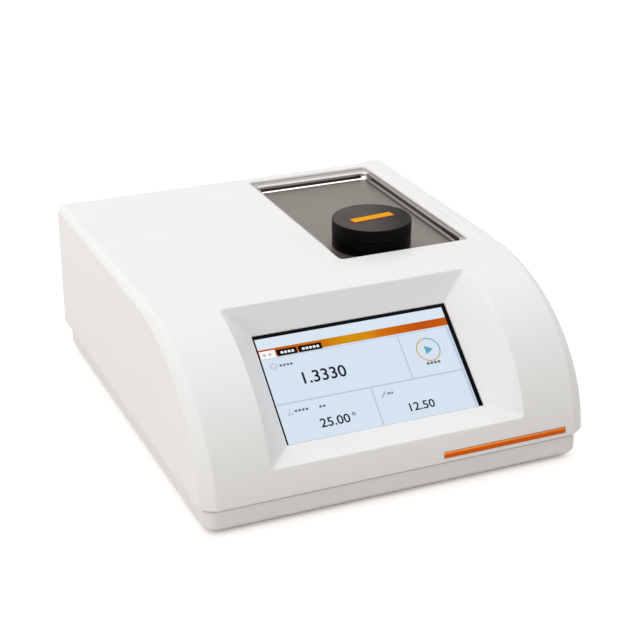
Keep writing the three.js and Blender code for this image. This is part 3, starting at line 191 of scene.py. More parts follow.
# the label's dark red edge, which also stands for painted shadow round the label
LABEL_EDGE_AND_SHADOW = material("label_edge_and_painted_shadow", (0.24, 0.03, 0.004), 0.5, blotch=0.1, grain=2000, gloss=0.15)
GLASS_FACE = material("screen_glass_border", (0.0015, 0.0015, 0.002), 0.08, blotch=0.05, rough_by=0.01,
                      grain=300, bump=0.0, gloss=0.03)
CRYSTAL = material("crystal", (0.95, 0.98, 0.98), 0.02, blotch=0.01, rough_by=0.005, grain=300, bump=0.0,
                   see_through=1.0, ior=1.76)
ALUMINIUM = material("satin_aluminium", (0.58, 0.585, 0.6), 0.34, metal=1.0, blotch=0.03, bump=0.12,
                     stretch=(1, 6, 1))
PANEL = material("rear_powder_coat", (0.55, 0.55, 0.54), 0.55, rough_by=0.08, grain=1500, bump=0.35)
BOARD = material("solder_mask", (0.012, 0.11, 0.045), 0.35, blotch=0.12, blotch_scale=90, grain=1500, bump=0.2)
DARK = material("moulded_black", (0.017, 0.017, 0.018), 0.44, blotch=0.1, rough_by=0.07, grain=1700, bump=0.3,
                gloss=0.3)
CERAMIC = material("white_ceramic", (0.83, 0.82, 0.79), 0.6, grain=1500, bump=0.2)
CONNECTOR = material("nickel_shell", (0.56, 0.55, 0.52), 0.27, metal=1.0, blotch=0.05, grain=1200)
BRASS = material("brass_pins", (0.68, 0.47, 0.18), 0.26, metal=1.0, blotch=0.06, grain=1200)
SCREW = material("screw_steel", (0.42, 0.42, 0.43), 0.28, metal=1.0, blotch=0.05, grain=1600)
AMBER = material("switch_amber", (0.45, 0.09, 0.01), 0.25, blotch=0.06, grain=1200, bump=0.05)

# Mesh helpers


def piece(name, points, faces, looks, body="housing", slot=None, stands_for=(), face_looks=None, smooth=True,
          tidy=True):
    """A visible piece that rides on a body. Without a body it stays where it is."""
    mesh = bpy.data.meshes.new(name)
    mesh.from_pydata([[c * MM for c in p] for p in points], [], faces)
    for look in looks if isinstance(looks, (list, tuple)) else [looks]:
        mesh.materials.append(look)
    if face_looks:
        mesh.polygons.foreach_set("material_index", face_looks)
    if tidy:
        edit = bmesh.new()
        edit.from_mesh(mesh)
        bmesh.ops.remove_doubles(edit, verts=edit.verts, dist=2e-6)
        bmesh.ops.recalc_face_normals(edit, faces=edit.faces)
        edit.to_mesh(mesh)
        edit.free()
    made = bpy.data.objects.new(name, mesh)
    bpy.context.scene.collection.objects.link(made)
    if smooth:
        mesh.shade_smooth()
        mesh.set_sharp_from_angle(angle=math.radians(50))
        weigh_normals(made)
    if body:
        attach(made, body)
    if stands_for:
        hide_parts(*stands_for)
    return made


def weigh_normals(made):
    made.modifiers.new("normals", "WEIGHTED_NORMAL").keep_sharp = True


class Skin:
    """A growing list of points and faces."""

    def __init__(self):
        self.points, self.faces, self.looks = [], [], []

    def add(self, point):
        self.points.append(tuple(point))
        return len(self.points) - 1

    def row(self, points):
        return [self.add(p) for p in points]

    def face(self, corners, look=0):
        kept = [c for i, c in enumerate(corners) if c != corners[i - 1]]
        if len(kept) > 2:
            self.faces.append(kept)
            self.looks.append(look)

    def strip(self, a, b, closed=True, look=lambda i: 0):
        count = len(a)
        for i in range(count if closed else count - 1):
            j = (i + 1) % count
            self.face([a[i], a[j], b[j], b[i]], look(i))

    def strips(self, rows, look=lambda i, k: 0):
        """Closed strips from row to row. A face's look depends on its place i in its strip k."""
        for k, (a, b) in enumerate(zip(rows, rows[1:])):
            self.strip(a, b, look=lambda i: look(i, k))

    def loft(self, rows, look=lambda i, k: 0):
        """Closed strips from row to row, with both ends shut."""
        self.strips(rows, look)
        self.face(rows[0])
        self.face(rows[-1])

    def shares(self, row):
        """How far along an open row its points lie, from 0 to 1."""
        lengths = [0.0]
        for p, q in zip(row, row[1:]):
            lengths.append(lengths[-1] + (Vector(self.points[p]) - Vector(self.points[q])).length)
        return [x / (lengths[-1] or 1) for x in lengths]

    def fill(self, a, b, sa, sb):
        """Triangles between two open rows with different numbers of points, which lie at sa and sb."""
        i = j = 0
        while i < len(a) - 1 or j < len(b) - 1:
            if j == len(b) - 1 or (i < len(a) - 1 and sa[i + 1] <= sb[j + 1]):
                self.face([a[i], a[i + 1], b[j]])
                i += 1
            else:
                self.face([a[i], b[j + 1], b[j]])
                j += 1

    def build(self, name, looks, **more):
        return piece(name, self.points, self.faces, looks, face_looks=self.looks, **more)


def circle(radius, count):
    """Points (x, y) round a circle."""
    return [(radius * math.cos(a), radius * math.sin(a)) for a in (TURN * i / count for i in range(count))]


def quarter_turn(steps):
    """The sine and cosine at even steps from 0 to 90 degrees."""
    return [(math.sin(a), math.cos(a)) for a in (QUARTER * i / steps for i in range(steps + 1))]


def lathe(name, profile, looks, centre, sides=96, turn=None, face_look=None, **more):
    """A form turned about Z, or about the turned axis, from [radius, z] points."""
    skin = Skin()
    turn = turn or Matrix.Identity(3)
    rows = []
    for radius, z in profile:
        if radius == 0:
            rows.append([skin.add(turn @ Vector((0, 0, z)) + Vector(centre))] * sides)
        else:
            rows.append(skin.row(turn @ Vector((x, y, z)) + Vector(centre) for x, y in circle(radius, sides)))
    skin.strips(rows, lambda i, k: face_look(profile[k], profile[k + 1]) if face_look else 0)
    return skin.build(name, looks, **more)


def rounded(width, length, radius, x=0.0, y=0.0, steps=6, cuts=1):
    """Points round a rectangle with round corners, anticlockwise from its right side's far end."""
    arcs = []
    for quarter, (sx, sy) in enumerate(((1, 1), (-1, 1), (-1, -1), (1, -1))):
        cx, cy = x + sx * (width / 2 - radius), y + sy * (length / 2 - radius)
        angles = [(quarter + i / steps) * QUARTER for i in range(steps + 1)]
        arcs.append([(cx + radius * math.cos(a), cy + radius * math.sin(a)) for a in angles])
    points = []
    for k, arc_points in enumerate(arcs):
        end, start = arc_points[-1], arcs[(k + 1) % 4][0]
        points += arc_points + [[a + (b - a) * i / cuts for a, b in zip(end, start)] for i in range(1, cuts)]
    return points


def slab(name, corners, low, high, edge, look, place, **more):
    """A flat plate with softened edges on its upper side, from a convex outline round the origin."""
    skin = Skin()

    def inset(amount):
        return [[math.copysign(max(0.0, abs(c) - amount), c) for c in corner] for corner in corners]

    rows = [skin.row(place(x, y, low) for x, y in corners)]
    for s, c in quarter_turn(3):
        rows.append(skin.row(place(x, y, high - edge * (1 - s)) for x, y in inset(edge * (1 - c))))
    skin.loft(rows)
    return skin.build(name, look, **more)


# The cover's outline, seen from the side and measured by the length v from the nose's foot over the top

ARC_STEPS = 2000
START = math.asin(SINK / NOSE_H)


def nose_point(a):
    """y and z of the nose at an angle of its quarter ellipse."""
    return FRONT + REACH * (1 - math.cos(a)), CENTRE_Z + NOSE_H * math.sin(a)


ARC = [(0.0, START)]
for _i in range(1, ARC_STEPS + 1):
    _a = START + (QUARTER - START) * _i / ARC_STEPS
    ARC.append((ARC[-1][0] + math.dist(nose_point(_a), nose_point(ARC[-1][1])), _a))
V_NOSE = ARC[-1][0]
V_TOP = V_NOSE + (BACK - REAR_R) - (FRONT + REACH)
V_REAR = V_TOP + REAR_R * QUARTER
V_END = V_REAR + (TOP_Z - REAR_R) - COVER_Z


def v_of_angle(angle):
    share = (angle - START) / (QUARTER - START) * ARC_STEPS
    i = min(ARC_STEPS - 1, max(0, int(share)))
    return ARC[i][0] + (ARC[i + 1][0] - ARC[i][0]) * (share - i)


def v_of_nose_z(z):
    return v_of_angle(math.asin((z - CENTRE_Z) / NOSE_H))


def v_of_top_y(y):
    return V_NOSE + y - (FRONT + REACH)


def v_of_rear_z(z):
    return V_REAR + TOP_Z - REAR_R - z


def angle_of_v(v):
    low, high = 0, ARC_STEPS
    while high - low > 1:
        middle = (low + high) // 2
        if ARC[middle][0] <= v:
            low = middle
        else:
            high = middle
    share = (v - ARC[low][0]) / (ARC[high][0] - ARC[low][0])
    return ARC[low][1] + (ARC[high][1] - ARC[low][1]) * share


def outline(v):
    """y, z, the normal's y and z, and the share along the nose."""
    if v <= V_NOSE:
        a = angle_of_v(max(v, 0.0))
        n = Vector((-NOSE_H * math.cos(a), REACH * math.sin(a))).normalized()
        return *nose_point(a), n.x, n.y, (a - START) / (QUARTER - START)
    if v <= V_TOP:
        return FRONT + REACH + v - V_NOSE, TOP_Z, 0.0, 1.0, 1.0
    if v <= V_REAR:
        a = (v - V_TOP) / REAR_R
        return (BACK - REAR_R + REAR_R * math.sin(a), TOP_Z - REAR_R * (1 - math.cos(a)),
                math.sin(a), math.cos(a), 1.0)
    return BACK, TOP_Z - REAR_R - (v - V_REAR), 1.0, 0.0, 1.0


# The right rail: a step at CREASE, then a slight fall to the outside
CREASE, STEP, RISE, FALL = 136.0, 2.0, 1.9, 0.08
FADE = 42.0  # over this length, about the tray's front, it rises from the nose


def smooth_step(x, low, high):
    t = min(1.0, max(0.0, (x - low) / (high - low)))
    return t * t * (3 - 2 * t)


def rise(x, y):
    """How far the right rail stands over the top."""
    across = RISE * smooth_step(x, CREASE - STEP / 2, CREASE + STEP / 2) - FALL * max(0.0, x - CREASE)
    start = TRAY_FRONT - FADE / 2
    return across * smooth_step(y, start, start + FADE)


def on_skin(x, v):
    """A point of the cover's outer face, between the corner bands."""
    y, z, _, _, share = outline(v)
    if share == 1 and v < V_END:
        z += rise(x, y)
    return Vector((x, y, z))


# The corner band's width and depth, and how sharp it is at the face and at the side
BAND_AT_FOOT, BAND_AT_TOP = (11.0, 7.0, 1.85, 1.7), (7.5, 5.6, 1.0, 1.9)


def on_band(side, turn, v):
    """A point of the band between the face, where turn is 1, and the side, where it is 0."""
    y, z, ny, nz, share = outline(v)
    width, depth, at_face, at_side = (low + (high - low) * share for low, high in zip(BAND_AT_FOOT, BAND_AT_TOP))
    a = turn * QUARTER
    from_face = depth * (1 - math.sin(a) ** at_side)
    x = side * (HALF - width * (1 - math.cos(a) ** at_face))
    foot = v <= 0 or v >= V_END
    yy = y - ny * from_face
    zz = COVER_Z if foot else z - nz * from_face
    if share == 1 and not foot:
        zz += rise(x, yy)
    return Vector((x, yy, zz))


# The screen's slanted plane runs between the recess's lower and upper edge on the nose
RECESS_FOOT, RECESS_REACH = 22.1, 102.6  # over the cover's lower edge, and back from the front
LOW_A = math.asin((COVER_Z + RECESS_FOOT - CENTRE_Z) / NOSE_H)
HIGH_A = math.acos(1 - RECESS_REACH / REACH)
LOW, HIGH = Vector(nose_point(LOW_A)), Vector(nose_point(HIGH_A))
CHORD = HIGH - LOW
SLOPE = CHORD.normalized()
SLOPE_N = Vector((-SLOPE.y, SLOPE.x))
WINDOW_X, WINDOW_W, WINDOW_H = 1.3, 159.8, 89.1
WINDOW_UP, WINDOW_DEPTH = 1.0, 14.5
WINDOW_CORNER, WINDOW_EDGE = 0.6, 0.45
MIDDLE = (LOW + HIGH) / 2 + SLOPE * WINDOW_UP - SLOPE_N * WINDOW_DEPTH


def on_screen(x, y, z):
    """A point in the screen's slanted frame: x across, y up the slope, z out of the screen."""
    p = MIDDLE + SLOPE * y + SLOPE_N * z
    return Vector((x, p.x, p.y))


# The cover. Its openings lie between a0 and a1 across and b0 and b1 along the outline. Each has a corner
# radius, a margin in the grid round it and a rounded rim.

Opening = namedtuple("Opening", "a0 a1 b0 b1 corner margin rim")
RECESS = Opening(-101.5, 101.5, v_of_angle(LOW_A), v_of_angle(HIGH_A), 3.5, 4.0, 1.0)
SLOT_LOW, SLOT_HIGH, SLOT_DEPTH = 25.8, 30.9, 2.0
SLOT = Opening(33.6, 136.4, v_of_nose_z(SLOT_LOW), v_of_nose_z(SLOT_HIGH), 0.6, 1.4, 0.35)
WELL = Opening(16.6, 129.4, v_of_top_y(TRAY_FRONT - 1.7), v_of_top_y(166.5), 4.0, 3.6, 1.2)
REAR = Opening(-122.0, 122.0, v_of_rear_z(114.5), v_of_rear_z(34.5), 5.0, 9.6, 0.8)
OPENINGS = [RECESS, SLOT, WELL, REAR]
ACROSS, ALONG = [h[:2] for h in OPENINGS], [h[2:4] for h in OPENINGS]
BAND = 8  # strips in a corner band
COVER_LIP, LIP_EDGE, SKIRT = 3.0, 0.9, 7  # the lower edge's width, its rounding and its height inside


def lines(low, high, pitch, spans, others=()):
    """Grid lines about a pitch apart that include both ends, the others and those that the openings need."""
    fixed = [low, high, *others]
    for h, (start, end) in zip(OPENINGS, spans):
        fixed += [start - h.margin, start + h.corner, end - h.corner, end + h.margin]
    kept = sorted(set(round(f, 6) for f in fixed if low - 1e-6 <= f <= high + 1e-6))
    made = []
    for a, b in zip(kept, kept[1:]):
        count = max(1, round((b - a) / pitch))
        made += [a + (b - a) * i / count for i in range(count)]
    return made + [kept[-1]]


GRID_HALF = HALF - BAND_AT_FOOT[0] - 1
COLS = lines(-GRID_HALF, GRID_HALF, 12, ACROSS, [0.0, *(CREASE + STEP * k / 4 for k in range(-2, 3))])
ROWS = lines(0.0, V_NOSE, 3.2, ALONG)
ROWS += lines(V_NOSE, V_TOP, 9, ALONG)[1:]
ROWS += [V_TOP + (V_REAR - V_TOP) * i / 8 for i in range(1, 9)]
ROWS += lines(V_REAR, V_END, 14, ALONG)[1:]


def covered(h, u0, u1, v0, v1):
    """Whether a cell of the grid belongs to an opening or its margin."""
    return (u0 >= h.a0 - h.margin - 1e-4 and u1 <= h.a1 + h.margin + 1e-4
            and v0 >= h.b0 - h.margin - 1e-4 and v1 <= h.b1 + h.margin + 1e-4)


def curved(a, b, c, shares):
    """Points on the curve from a to c that b pulls to itself."""
    return [a * (1 - t) ** 2 + b * 2 * t * (1 - t) + c * t * t for t in shares]


def tightened(value, low, high, corner, half):
    """Carries the recess's rounding, outside low to high, over to the window's much smaller one."""
    middle, reach = (low + high) / 2, (high - low) / 2
    beyond = max(0.0, abs(value - middle) - reach) / corner
    inner = min(1.0, abs(value - middle) / reach) * (half - WINDOW_CORNER)
    return math.copysign(inner + beyond * WINDOW_CORNER, value - middle)


def recess_wall(u, v, p):
    """The recess's flank, from its rim at p to the window and in to the glass."""
    r = RECESS.corner
    x = tightened(u, RECESS.a0 + r, RECESS.a1 - r, r, WINDOW_W / 2)
    ends = on_skin(u, RECESS.b0 + r), p, on_skin(u, RECESS.b1 - r)
    low, along, high = ((Vector((q.y, q.z)) - LOW).dot(SLOPE) / CHORD.length for q in ends)
    y = tightened(along, low, high, low if along < low else 1 - high, WINDOW_H / 2)
    w = on_screen(WINDOW_X + x, y, 0)
    inward = Vector((0, -SLOPE_N.x, -SLOPE_N.y))
    a, c = w + (p - w).normalized() * WINDOW_EDGE, w + inward * WINDOW_EDGE
    flank = [p + (a - p) * t for t in (0.25, 0.5, 0.75)]
    return flank + curved(a, w, c, (0.0, 0.33, 0.67, 1.0)) + [w + inward * 1.25]


def make_cover():
    skin = Skin()
    grid = {}
    last_col, last_row = len(COLS) - 1, len(ROWS) - 1

    def at(i, j):
        if (i, j) not in grid:
            grid[i, j] = skin.add(on_skin(COLS[i], ROWS[j]))
        return grid[i, j]

    for i in range(last_col):
        for j in range(last_row):
            if not any(covered(h, COLS[i], COLS[i + 1], ROWS[j], ROWS[j + 1]) for h in OPENINGS):
                skin.face([at(i, j), at(i + 1, j), at(i + 1, j + 1), at(i, j + 1)])
    edges = {}
    for side in (-1, 1):
        columns = [[skin.add(on_band(side, 1 - k / BAND, v)) for v in ROWS] for k in range(BAND + 1)]
        first = [at(0 if side < 0 else last_col, j) for j in range(last_row + 1)]
        for a, b in zip([first] + columns, columns):
            skin.strip(a, b, closed=False)
        skin.face(columns[-1])
        edges[side] = [c[0] for c in columns], [c[-1] for c in columns]

    def nearest(values, wanted):
        return min(range(len(values)), key=lambda k: abs(values[k] - wanted))

    def cut(h, wall, close=False):
        """Fills round one opening, rounds its rim over and runs its wall in."""
        a0, a1, b0, b1, r, m, rho = h
        i0, ia, ib, i1 = (nearest(COLS, u) for u in (a0 - m, a0 + r, a1 - r, a1 + m))
        j0, ja, jb, j1 = (nearest(ROWS, v) for v in (b0 - m, b0 + r, b1 - r, b1 + m))
        # once round the margin's outer edge, from the lower side's start, and where its parts meet
        walk = [(i, j0) for i in range(ia, i1)] + [(i1, j) for j in range(j0, j1)]
        walk += [(i, j1) for i in range(i1, i0, -1)] + [(i0, j) for j in range(j1, j0, -1)]
        walk += [(i, j0) for i in range(i0, ia + 1)]
        meets = (ib, j0), (i1, ja), (i1, jb), (ib, j1), (ia, j1), (i0, jb), (i0, ja)
        stops = [0] + [walk.index(place) for place in meets] + [len(walk) - 1]
        centres = [(a1 - r, b0 + r), (a1 - r, b1 - r), (a0 + r, b1 - r), (a0 + r, b0 + r)]
        steps = 6
        loop, spans = [], []
        for k, d in enumerate(((0, -1), (1, 0), (0, 1), (-1, 0))):
            side, corner = (walk[stops[n]:stops[n + 1] + 1] for n in (2 * k, 2 * k + 1))
            level = (b0, a1, b1, a0)[k]
            spans.append((True, len(loop), len(loop) + len(side), side))
            loop += [(COLS[i], level, d) if d[1] else (level, ROWS[j], d) for i, j in side]
            spans.append((False, len(loop) - 1, len(loop) + steps, corner))
            for s in range(1, steps):
                a = (k - 1 + s / steps) * QUARTER
                d = (math.cos(a), math.sin(a))
                loop.append((centres[k][0] + r * d[0], centres[k][1] + r * d[1], d))
        rim = [skin.add(on_skin(u + d[0] * rho, v + d[1] * rho)) for u, v, d in loop]
        for straight, start, end, places in spans:
            outer, inner = [at(i, j) for i, j in places], (rim + rim[:1])[start:end]
            if straight:
                skin.strip(outer, inner, closed=False)
            else:
                skin.fill(outer, inner, skin.shares(outer), skin.shares(inner))
        columns = []
        for u, v, d in loop:
            p = on_skin(u, v)
            outside = (on_skin(u + d[0] * 0.5, v + d[1] * 0.5) - p).normalized()
            points = wall(u, v, p)
            inside = (points[0] - p).normalized()
            columns.append(curved(p + outside * rho, p, p + inside * rho, (0.25, 0.5, 0.75, 1.0)) + points)
        rows = [rim] + [skin.row(c[k] for c in columns) for k in range(len(columns[0]))]
        skin.strips(rows)
        if close:
            skin.face(rows[-1])

    slot_back = nose_point(math.asin((SLOT_LOW - CENTRE_Z) / NOSE_H))[0] + SLOT_DEPTH
    cut(RECESS, recess_wall)
    cut(SLOT, lambda u, v, p: [Vector((p.x, slot_back, p.z))], close=True)
    cut(WELL, lambda u, v, p: [Vector((p.x, p.y, FLANGE_Z))])
    cut(REAR, lambda u, v, p: [Vector((p.x, PANEL_Y + 0.32, p.z))])

    # the lower edge, turned in and up as a skirt
    near = list(reversed(edges[-1][0])) + [at(i, 0) for i in range(last_col + 1)] + edges[1][0]
    far = list(reversed(edges[1][1])) + [at(i, last_row) for i in range(last_col, -1, -1)] + edges[-1][1]
    foot = near + far
    ring = [Vector(skin.points[i]) for i in foot]
    inner = []
    for p in ring:
        x = math.copysign(max(0.0, abs(p.x) - COVER_LIP), p.x) if abs(p.x) > HALF - 12 else p.x
        y = p.y + COVER_LIP if p.y < 0 else p.y - COVER_LIP
        inner.append(Vector((x, min(max(y, FRONT + COVER_LIP), BACK - COVER_LIP), COVER_Z)))
    for i, p in zip(foot, ring):
        skin.points[i] = (p.x, p.y, COVER_Z + LIP_EDGE)
    rows = [foot]
    for s, c in quarter_turn(4)[1:]:
        up = Vector((0, 0, LIP_EDGE * (1 - s)))
        rows.append(skin.row(p + (q - p) * LIP_EDGE * (1 - c) / COVER_LIP + up for p, q in zip(ring, inner)))
    rows.append(skin.row(inner))
    rows.append(skin.row(p + Vector((0, 0, SKIRT)) for p in inner))
    skin.strips(rows)
    skin.build("cover_shell", HOUSING, slot="housing", stands_for=["top_cover"])


make_cover()

# The base tray

BASE_SIDE, BASE_NEAR, BASE_FAR = 3.7, 4.0, 9.0  # how far it is set back from the cover
BASE_EDGE, BASE_WALL, BASE_TOP = 3.5, 3, 28.5
CORNER_POWER = 1.12


def base_loop(inset, z):
    x, near, far = HALF - BASE_SIDE - inset, FRONT + BASE_NEAR + inset, BACK - BASE_FAR - inset
    loop = []
    for sign, at_front in ((-1, True), (1, True), (1, False), (-1, False)):
        width, depth = (9.5, 7.0) if at_front else (6.5, 5.6)
        for i in range(9):
            a = (1 - i / 8 if (sign > 0) == at_front else i / 8) * QUARTER
            from_side = width * (1 - math.cos(a) ** CORNER_POWER)
            from_face = depth * (1 - math.sin(a) ** CORNER_POWER)
            loop.append(Vector((sign * (x - from_side), near + from_face if at_front else far - from_face, z)))
    return loop


def make_base():
    skin = Skin()
    rows = [skin.row(base_loop(BASE_EDGE * (1 - s), BASE_Z + BASE_EDGE * (1 - c))) for s, c in quarter_turn(8)]
    # up past the shadow groove, over the top and down inside
    for inset, z in ((0, 19.2), (0.15, 19.5), (1.3, 19.7), (1.3, 21.2), (0, 21.4), (0, BASE_TOP),
                     (BASE_WALL, BASE_TOP), (BASE_WALL, 7.0)):
        rows.append(skin.row(base_loop(inset, z)))
    skin.loft(rows)
    skin.build("base_shell", BASE, slot="housing", stands_for=["base_tray"])


make_base()


def turn_to(axis):
    return Vector((0, 0, 1)).rotation_difference(Vector(axis)).to_matrix()


DOWN, TO_REAR = (0, 0, -1), (0, 1, 0)


def screw(name, centre, axis, radius, height):
    """A pan-head screw with a cross recess. Its head stands out along the axis from the centre's plane."""
    skin = Skin()
    turn = turn_to(axis)
    reach, half, sides = radius * 0.62, radius * 0.16, 32

    def cross(a):
        """The cross recess's edge at an angle: four arms with flat ends."""
        a = (a + math.pi / 4) % QUARTER - math.pi / 4
        return min(reach / math.cos(a), half / max(abs(math.sin(a)), 1e-3))

    angles = [TURN * i / sides for i in range(sides)]
    head = ((1.0, 0.35), (0.95, 0.7), (0.84, 0.93), (0.72, 1.0))  # shares of the radius and of the height
    loops = [[(radius, -0.4)] * sides] + [[(radius * share, height * high)] * sides for share, high in head]
    loops += [[(cross(a), height) for a in angles], [(cross(a) * 0.7, height * 0.3) for a in angles]]
    rows = [skin.row(turn @ Vector((r * math.cos(a), r * math.sin(a), z)) + Vector(centre)
                     for a, (r, z) in zip(angles, loop)) for loop in loops]
    skin.loft(rows)
    skin.build(name, SCREW)


def make_feet():
    profile = [(0, 2.6), (3.1, 2.6), (3.1, 0.5), (3.5, 0.0), (7.3, 0.0), (7.9, 0.15), (8.35, 0.6), (8.8, 3.0),
               (9.0, BASE_Z), (0, BASE_Z)]
    for name, x, y in (("foot_front_left", -126.0, -148.5), ("foot_front_right", 126.0, -148.5),
                       ("foot_rear_left", -126.0, 148.5), ("foot_rear_right", 126.0, 148.5)):
        lathe(name + "_rubber", profile, RUBBER, (x, y, 0), 48, slot="foot_rubber", stands_for=[name])
        screw(name + "_screw", (x, y, 1.35), DOWN, 2.6, 1.2)
    for name, x, y in (("lf", -141.5, -155.5), ("rf", 141.5, -155.5), ("lb", -141.5, 159.5), ("rb", 141.5, 159.5)):
        screw("base_screw_" + name, (x, y, BASE_Z), DOWN, 3.4, 1.6)


make_feet()

# The sample tray: one pressed sheet, a well with a floor, a curl up to the wall, a bend over and a flange

TRAY_LEFT, TRAY_NEAR = 18.2, TRAY_FRONT + 1.2
TRAY_W, TRAY_L, TRAY_CORNER = 108.7, 188.3, 5.8
TRAY_BEND, TRAY_CURL, TRAY_SHEET = 1.6, 3.2, 0.8
FLANGE_W, FLANGE_L, FLANGE_X, FLANGE_Y = 123, 210, 72.5, 67.5
CHAMBER_HOLE = 22


def make_tray():
    cx, cy = TRAY_LEFT + TRAY_W / 2, TRAY_NEAR + TRAY_L / 2
    steps, cuts = 10, 12
    skin = Skin()

    def level(inset, z):
        return skin.row((x, y, z) for x, y in rounded(TRAY_W - inset * 2, TRAY_L - inset * 2, TRAY_CORNER - inset,
                                                      cx, cy, steps, cuts))

    bends = quarter_turn(8)
    rows = [level(TRAY_BEND + TRAY_CURL * (1 - s), TRAY_Z + TRAY_CURL * (1 - c)) for s, c in bends]
    rows += [level(TRAY_BEND * c, FLANGE_Z - TRAY_BEND * (1 - s)) for s, c in bends]
    rows.append(level(-2.2, FLANGE_Z))
    rows.append(skin.row((x, y, FLANGE_Z)
                         for x, y in rounded(FLANGE_W, FLANGE_L, 8, FLANGE_X, FLANGE_Y, steps, cuts)))

    # painted reflections: each strip of the sheet, from the floor out, takes a copy of the steel with its highlight,
    # grey band or dark band painted in
    looks = [FLOOR_STEEL, PAINTED_HIGHLIGHT_STEEL, PAINTED_DARK_REFLECTION_STEEL, PAINTED_GREY_REFLECTION_STEEL, PAINTED_DIM_REFLECTION_STEEL, PAINTED_PALE_REFLECTION_STEEL, PAINTED_LEFT_REFLECTION_STEEL, PAINTED_RIGHT_REFLECTION_STEEL]
    _, painted_bright, shade, soft, painted_dim, edge, lip, rim = range(len(looks))
    by_corner = [soft] + [painted_bright] * 11 + [edge] * 7
    by_end = [soft] + [painted_bright] * 3 + [shade] * 4 + [painted_bright] * 4 + [edge] * 7
    by_left = [painted_dim] * 4 + [soft] * 4 + [shade] * 3 + [lip] * 7 + [painted_dim]
    by_right = [painted_dim] * 4 + [soft] * 4 + [painted_dim] * 3 + [soft] * 2 + [rim] * 5 + [painted_dim]

    # each face's painted reflection, by its side of the tray, its place along that side and its strip
    def finish(i, k):
        side, place = divmod(i, steps + cuts)
        if place < steps:
            return by_corner[k]
        from_front = place - steps
        # a painted dark reflection, as a wedge at the right side's front end
        if side == 3 and from_front < 3 and 6 + from_front <= k <= 12 - from_front:
            return shade  # a dark wedge at the right side's front end
        return (by_end, by_left, by_end, by_right)[side][k]

    skin.strips(rows, finish)

    # the floor, as a fan between its outline and the chamber's hole
    count = 96
    hole = skin.row((CHAMBER[0] + x, CHAMBER[1] + y, TRAY_Z) for x, y in circle(CHAMBER_HOLE, count))

    def bearing(i):
        return math.atan2(skin.points[i][1] - CHAMBER[1], skin.points[i][0] - CHAMBER[0]) % TURN

    floor = rows[0]
    start = min(range(len(floor)), key=lambda i: bearing(floor[i]))
    outer = floor[start:] + floor[:start]
    angles = [bearing(i) for i in outer] + [bearing(outer[0]) + TURN]
    skin.fill(outer + outer[:1], hole + hole[:1], angles, [TURN * j / count for j in range(count + 1)])
    tray = skin.build("tray_pan", looks, slot="steel", stands_for=["sample_tray"], smooth=False)
    turned = bmesh.new()
    turned.from_mesh(tray.data)
    if max(turned.faces, key=lambda f: f.calc_area()).normal.z < 0:
        bmesh.ops.reverse_faces(turned, faces=turned.faces)
    turned.to_mesh(tray.data)
    turned.free()
    tray.data.shade_smooth()
    sheet = tray.modifiers.new("sheet", "SOLIDIFY")
    sheet.thickness, sheet.offset = TRAY_SHEET * MM, -1
    weigh_normals(tray)


make_tray()

# Chamber ring, lid and label

RING_Z = TRAY_Z + 0.3
LID_Z = RING_Z + 11.1
LID_H = 11.2
LABEL_X, LABEL_Y, LABEL_TURN = CHAMBER[0] + 0.1, CHAMBER[1] - 0.4, math.radians(5.0)


def on_lid(a, b, z):
    """A point of the label, which is turned a little, over the lid's top."""
    return (LABEL_X + a * math.cos(LABEL_TURN) - b * math.sin(LABEL_TURN),
            LABEL_Y + a * math.sin(LABEL_TURN) + b * math.cos(LABEL_TURN), LID_Z + LID_H + z)


def make_chamber():
    ring = [(24, 0), (30.9, 0), (31.8, 0.15), (32.05, 0.6), (32.05, 10.1), (31.9, 10.5), (31.45, 10.8), (28, 10.8),
            (28, 11.3), (25.6, 11.3), (25.6, 13.7), (28, 13.7), (27.9, 14.05), (27.6, 14.2), (24.5, 14.2),
            (24, 13.8), (24, 0)]
    lathe("chamber_ring_body", ring, GLOSS_BLACK, (*CHAMBER, RING_Z), 128, slot="chamber_black",
          stands_for=["chamber_ring"])
    seal = [(26.8 + x, 12.5 + z) for x, z in circle(0.9, 16)]
    lathe("chamber_seal_ring", seal + seal[:1], RUBBER, (*CHAMBER, RING_Z), slot="seal_rubber",
          stands_for=["chamber_seal"])
    lid = [(0, 7.2), (23.6, 7.2), (24, 6.9), (24, 3.4), (28.3, 3.4), (28.3, 0.3), (28.6, 0), (31.5, 0), (32.0, 0.2),
           (32.2, 0.7), (32.2, 10.3), (32.1, 10.75), (31.8, 11.05), (31.3, LID_H), (0, LID_H)]
    lathe("lid_body", lid, [SATIN_BLACK, LID_TOP], (*CHAMBER, LID_Z), 128, body="lid", slot="chamber_black",
          stands_for=["chamber_lid"], face_look=lambda a, b: int(min(a[1], b[1]) > 11))
    # the backing's dark red rim shows round the face: the label's edge and painted shadow round it
    slab("label_backing", rounded(38.4, 9.8, 1.0), -0.02, 0.3, 0.12, LABEL_EDGE_AND_SHADOW, on_lid, body="lid", slot="label",
         stands_for=["lid_label"])
    slab("label_face", rounded(36.4, 7.8, 0.5), 0.28, 0.4, 0.06, LABEL, on_lid, body="lid", slot="label")


make_chamber()


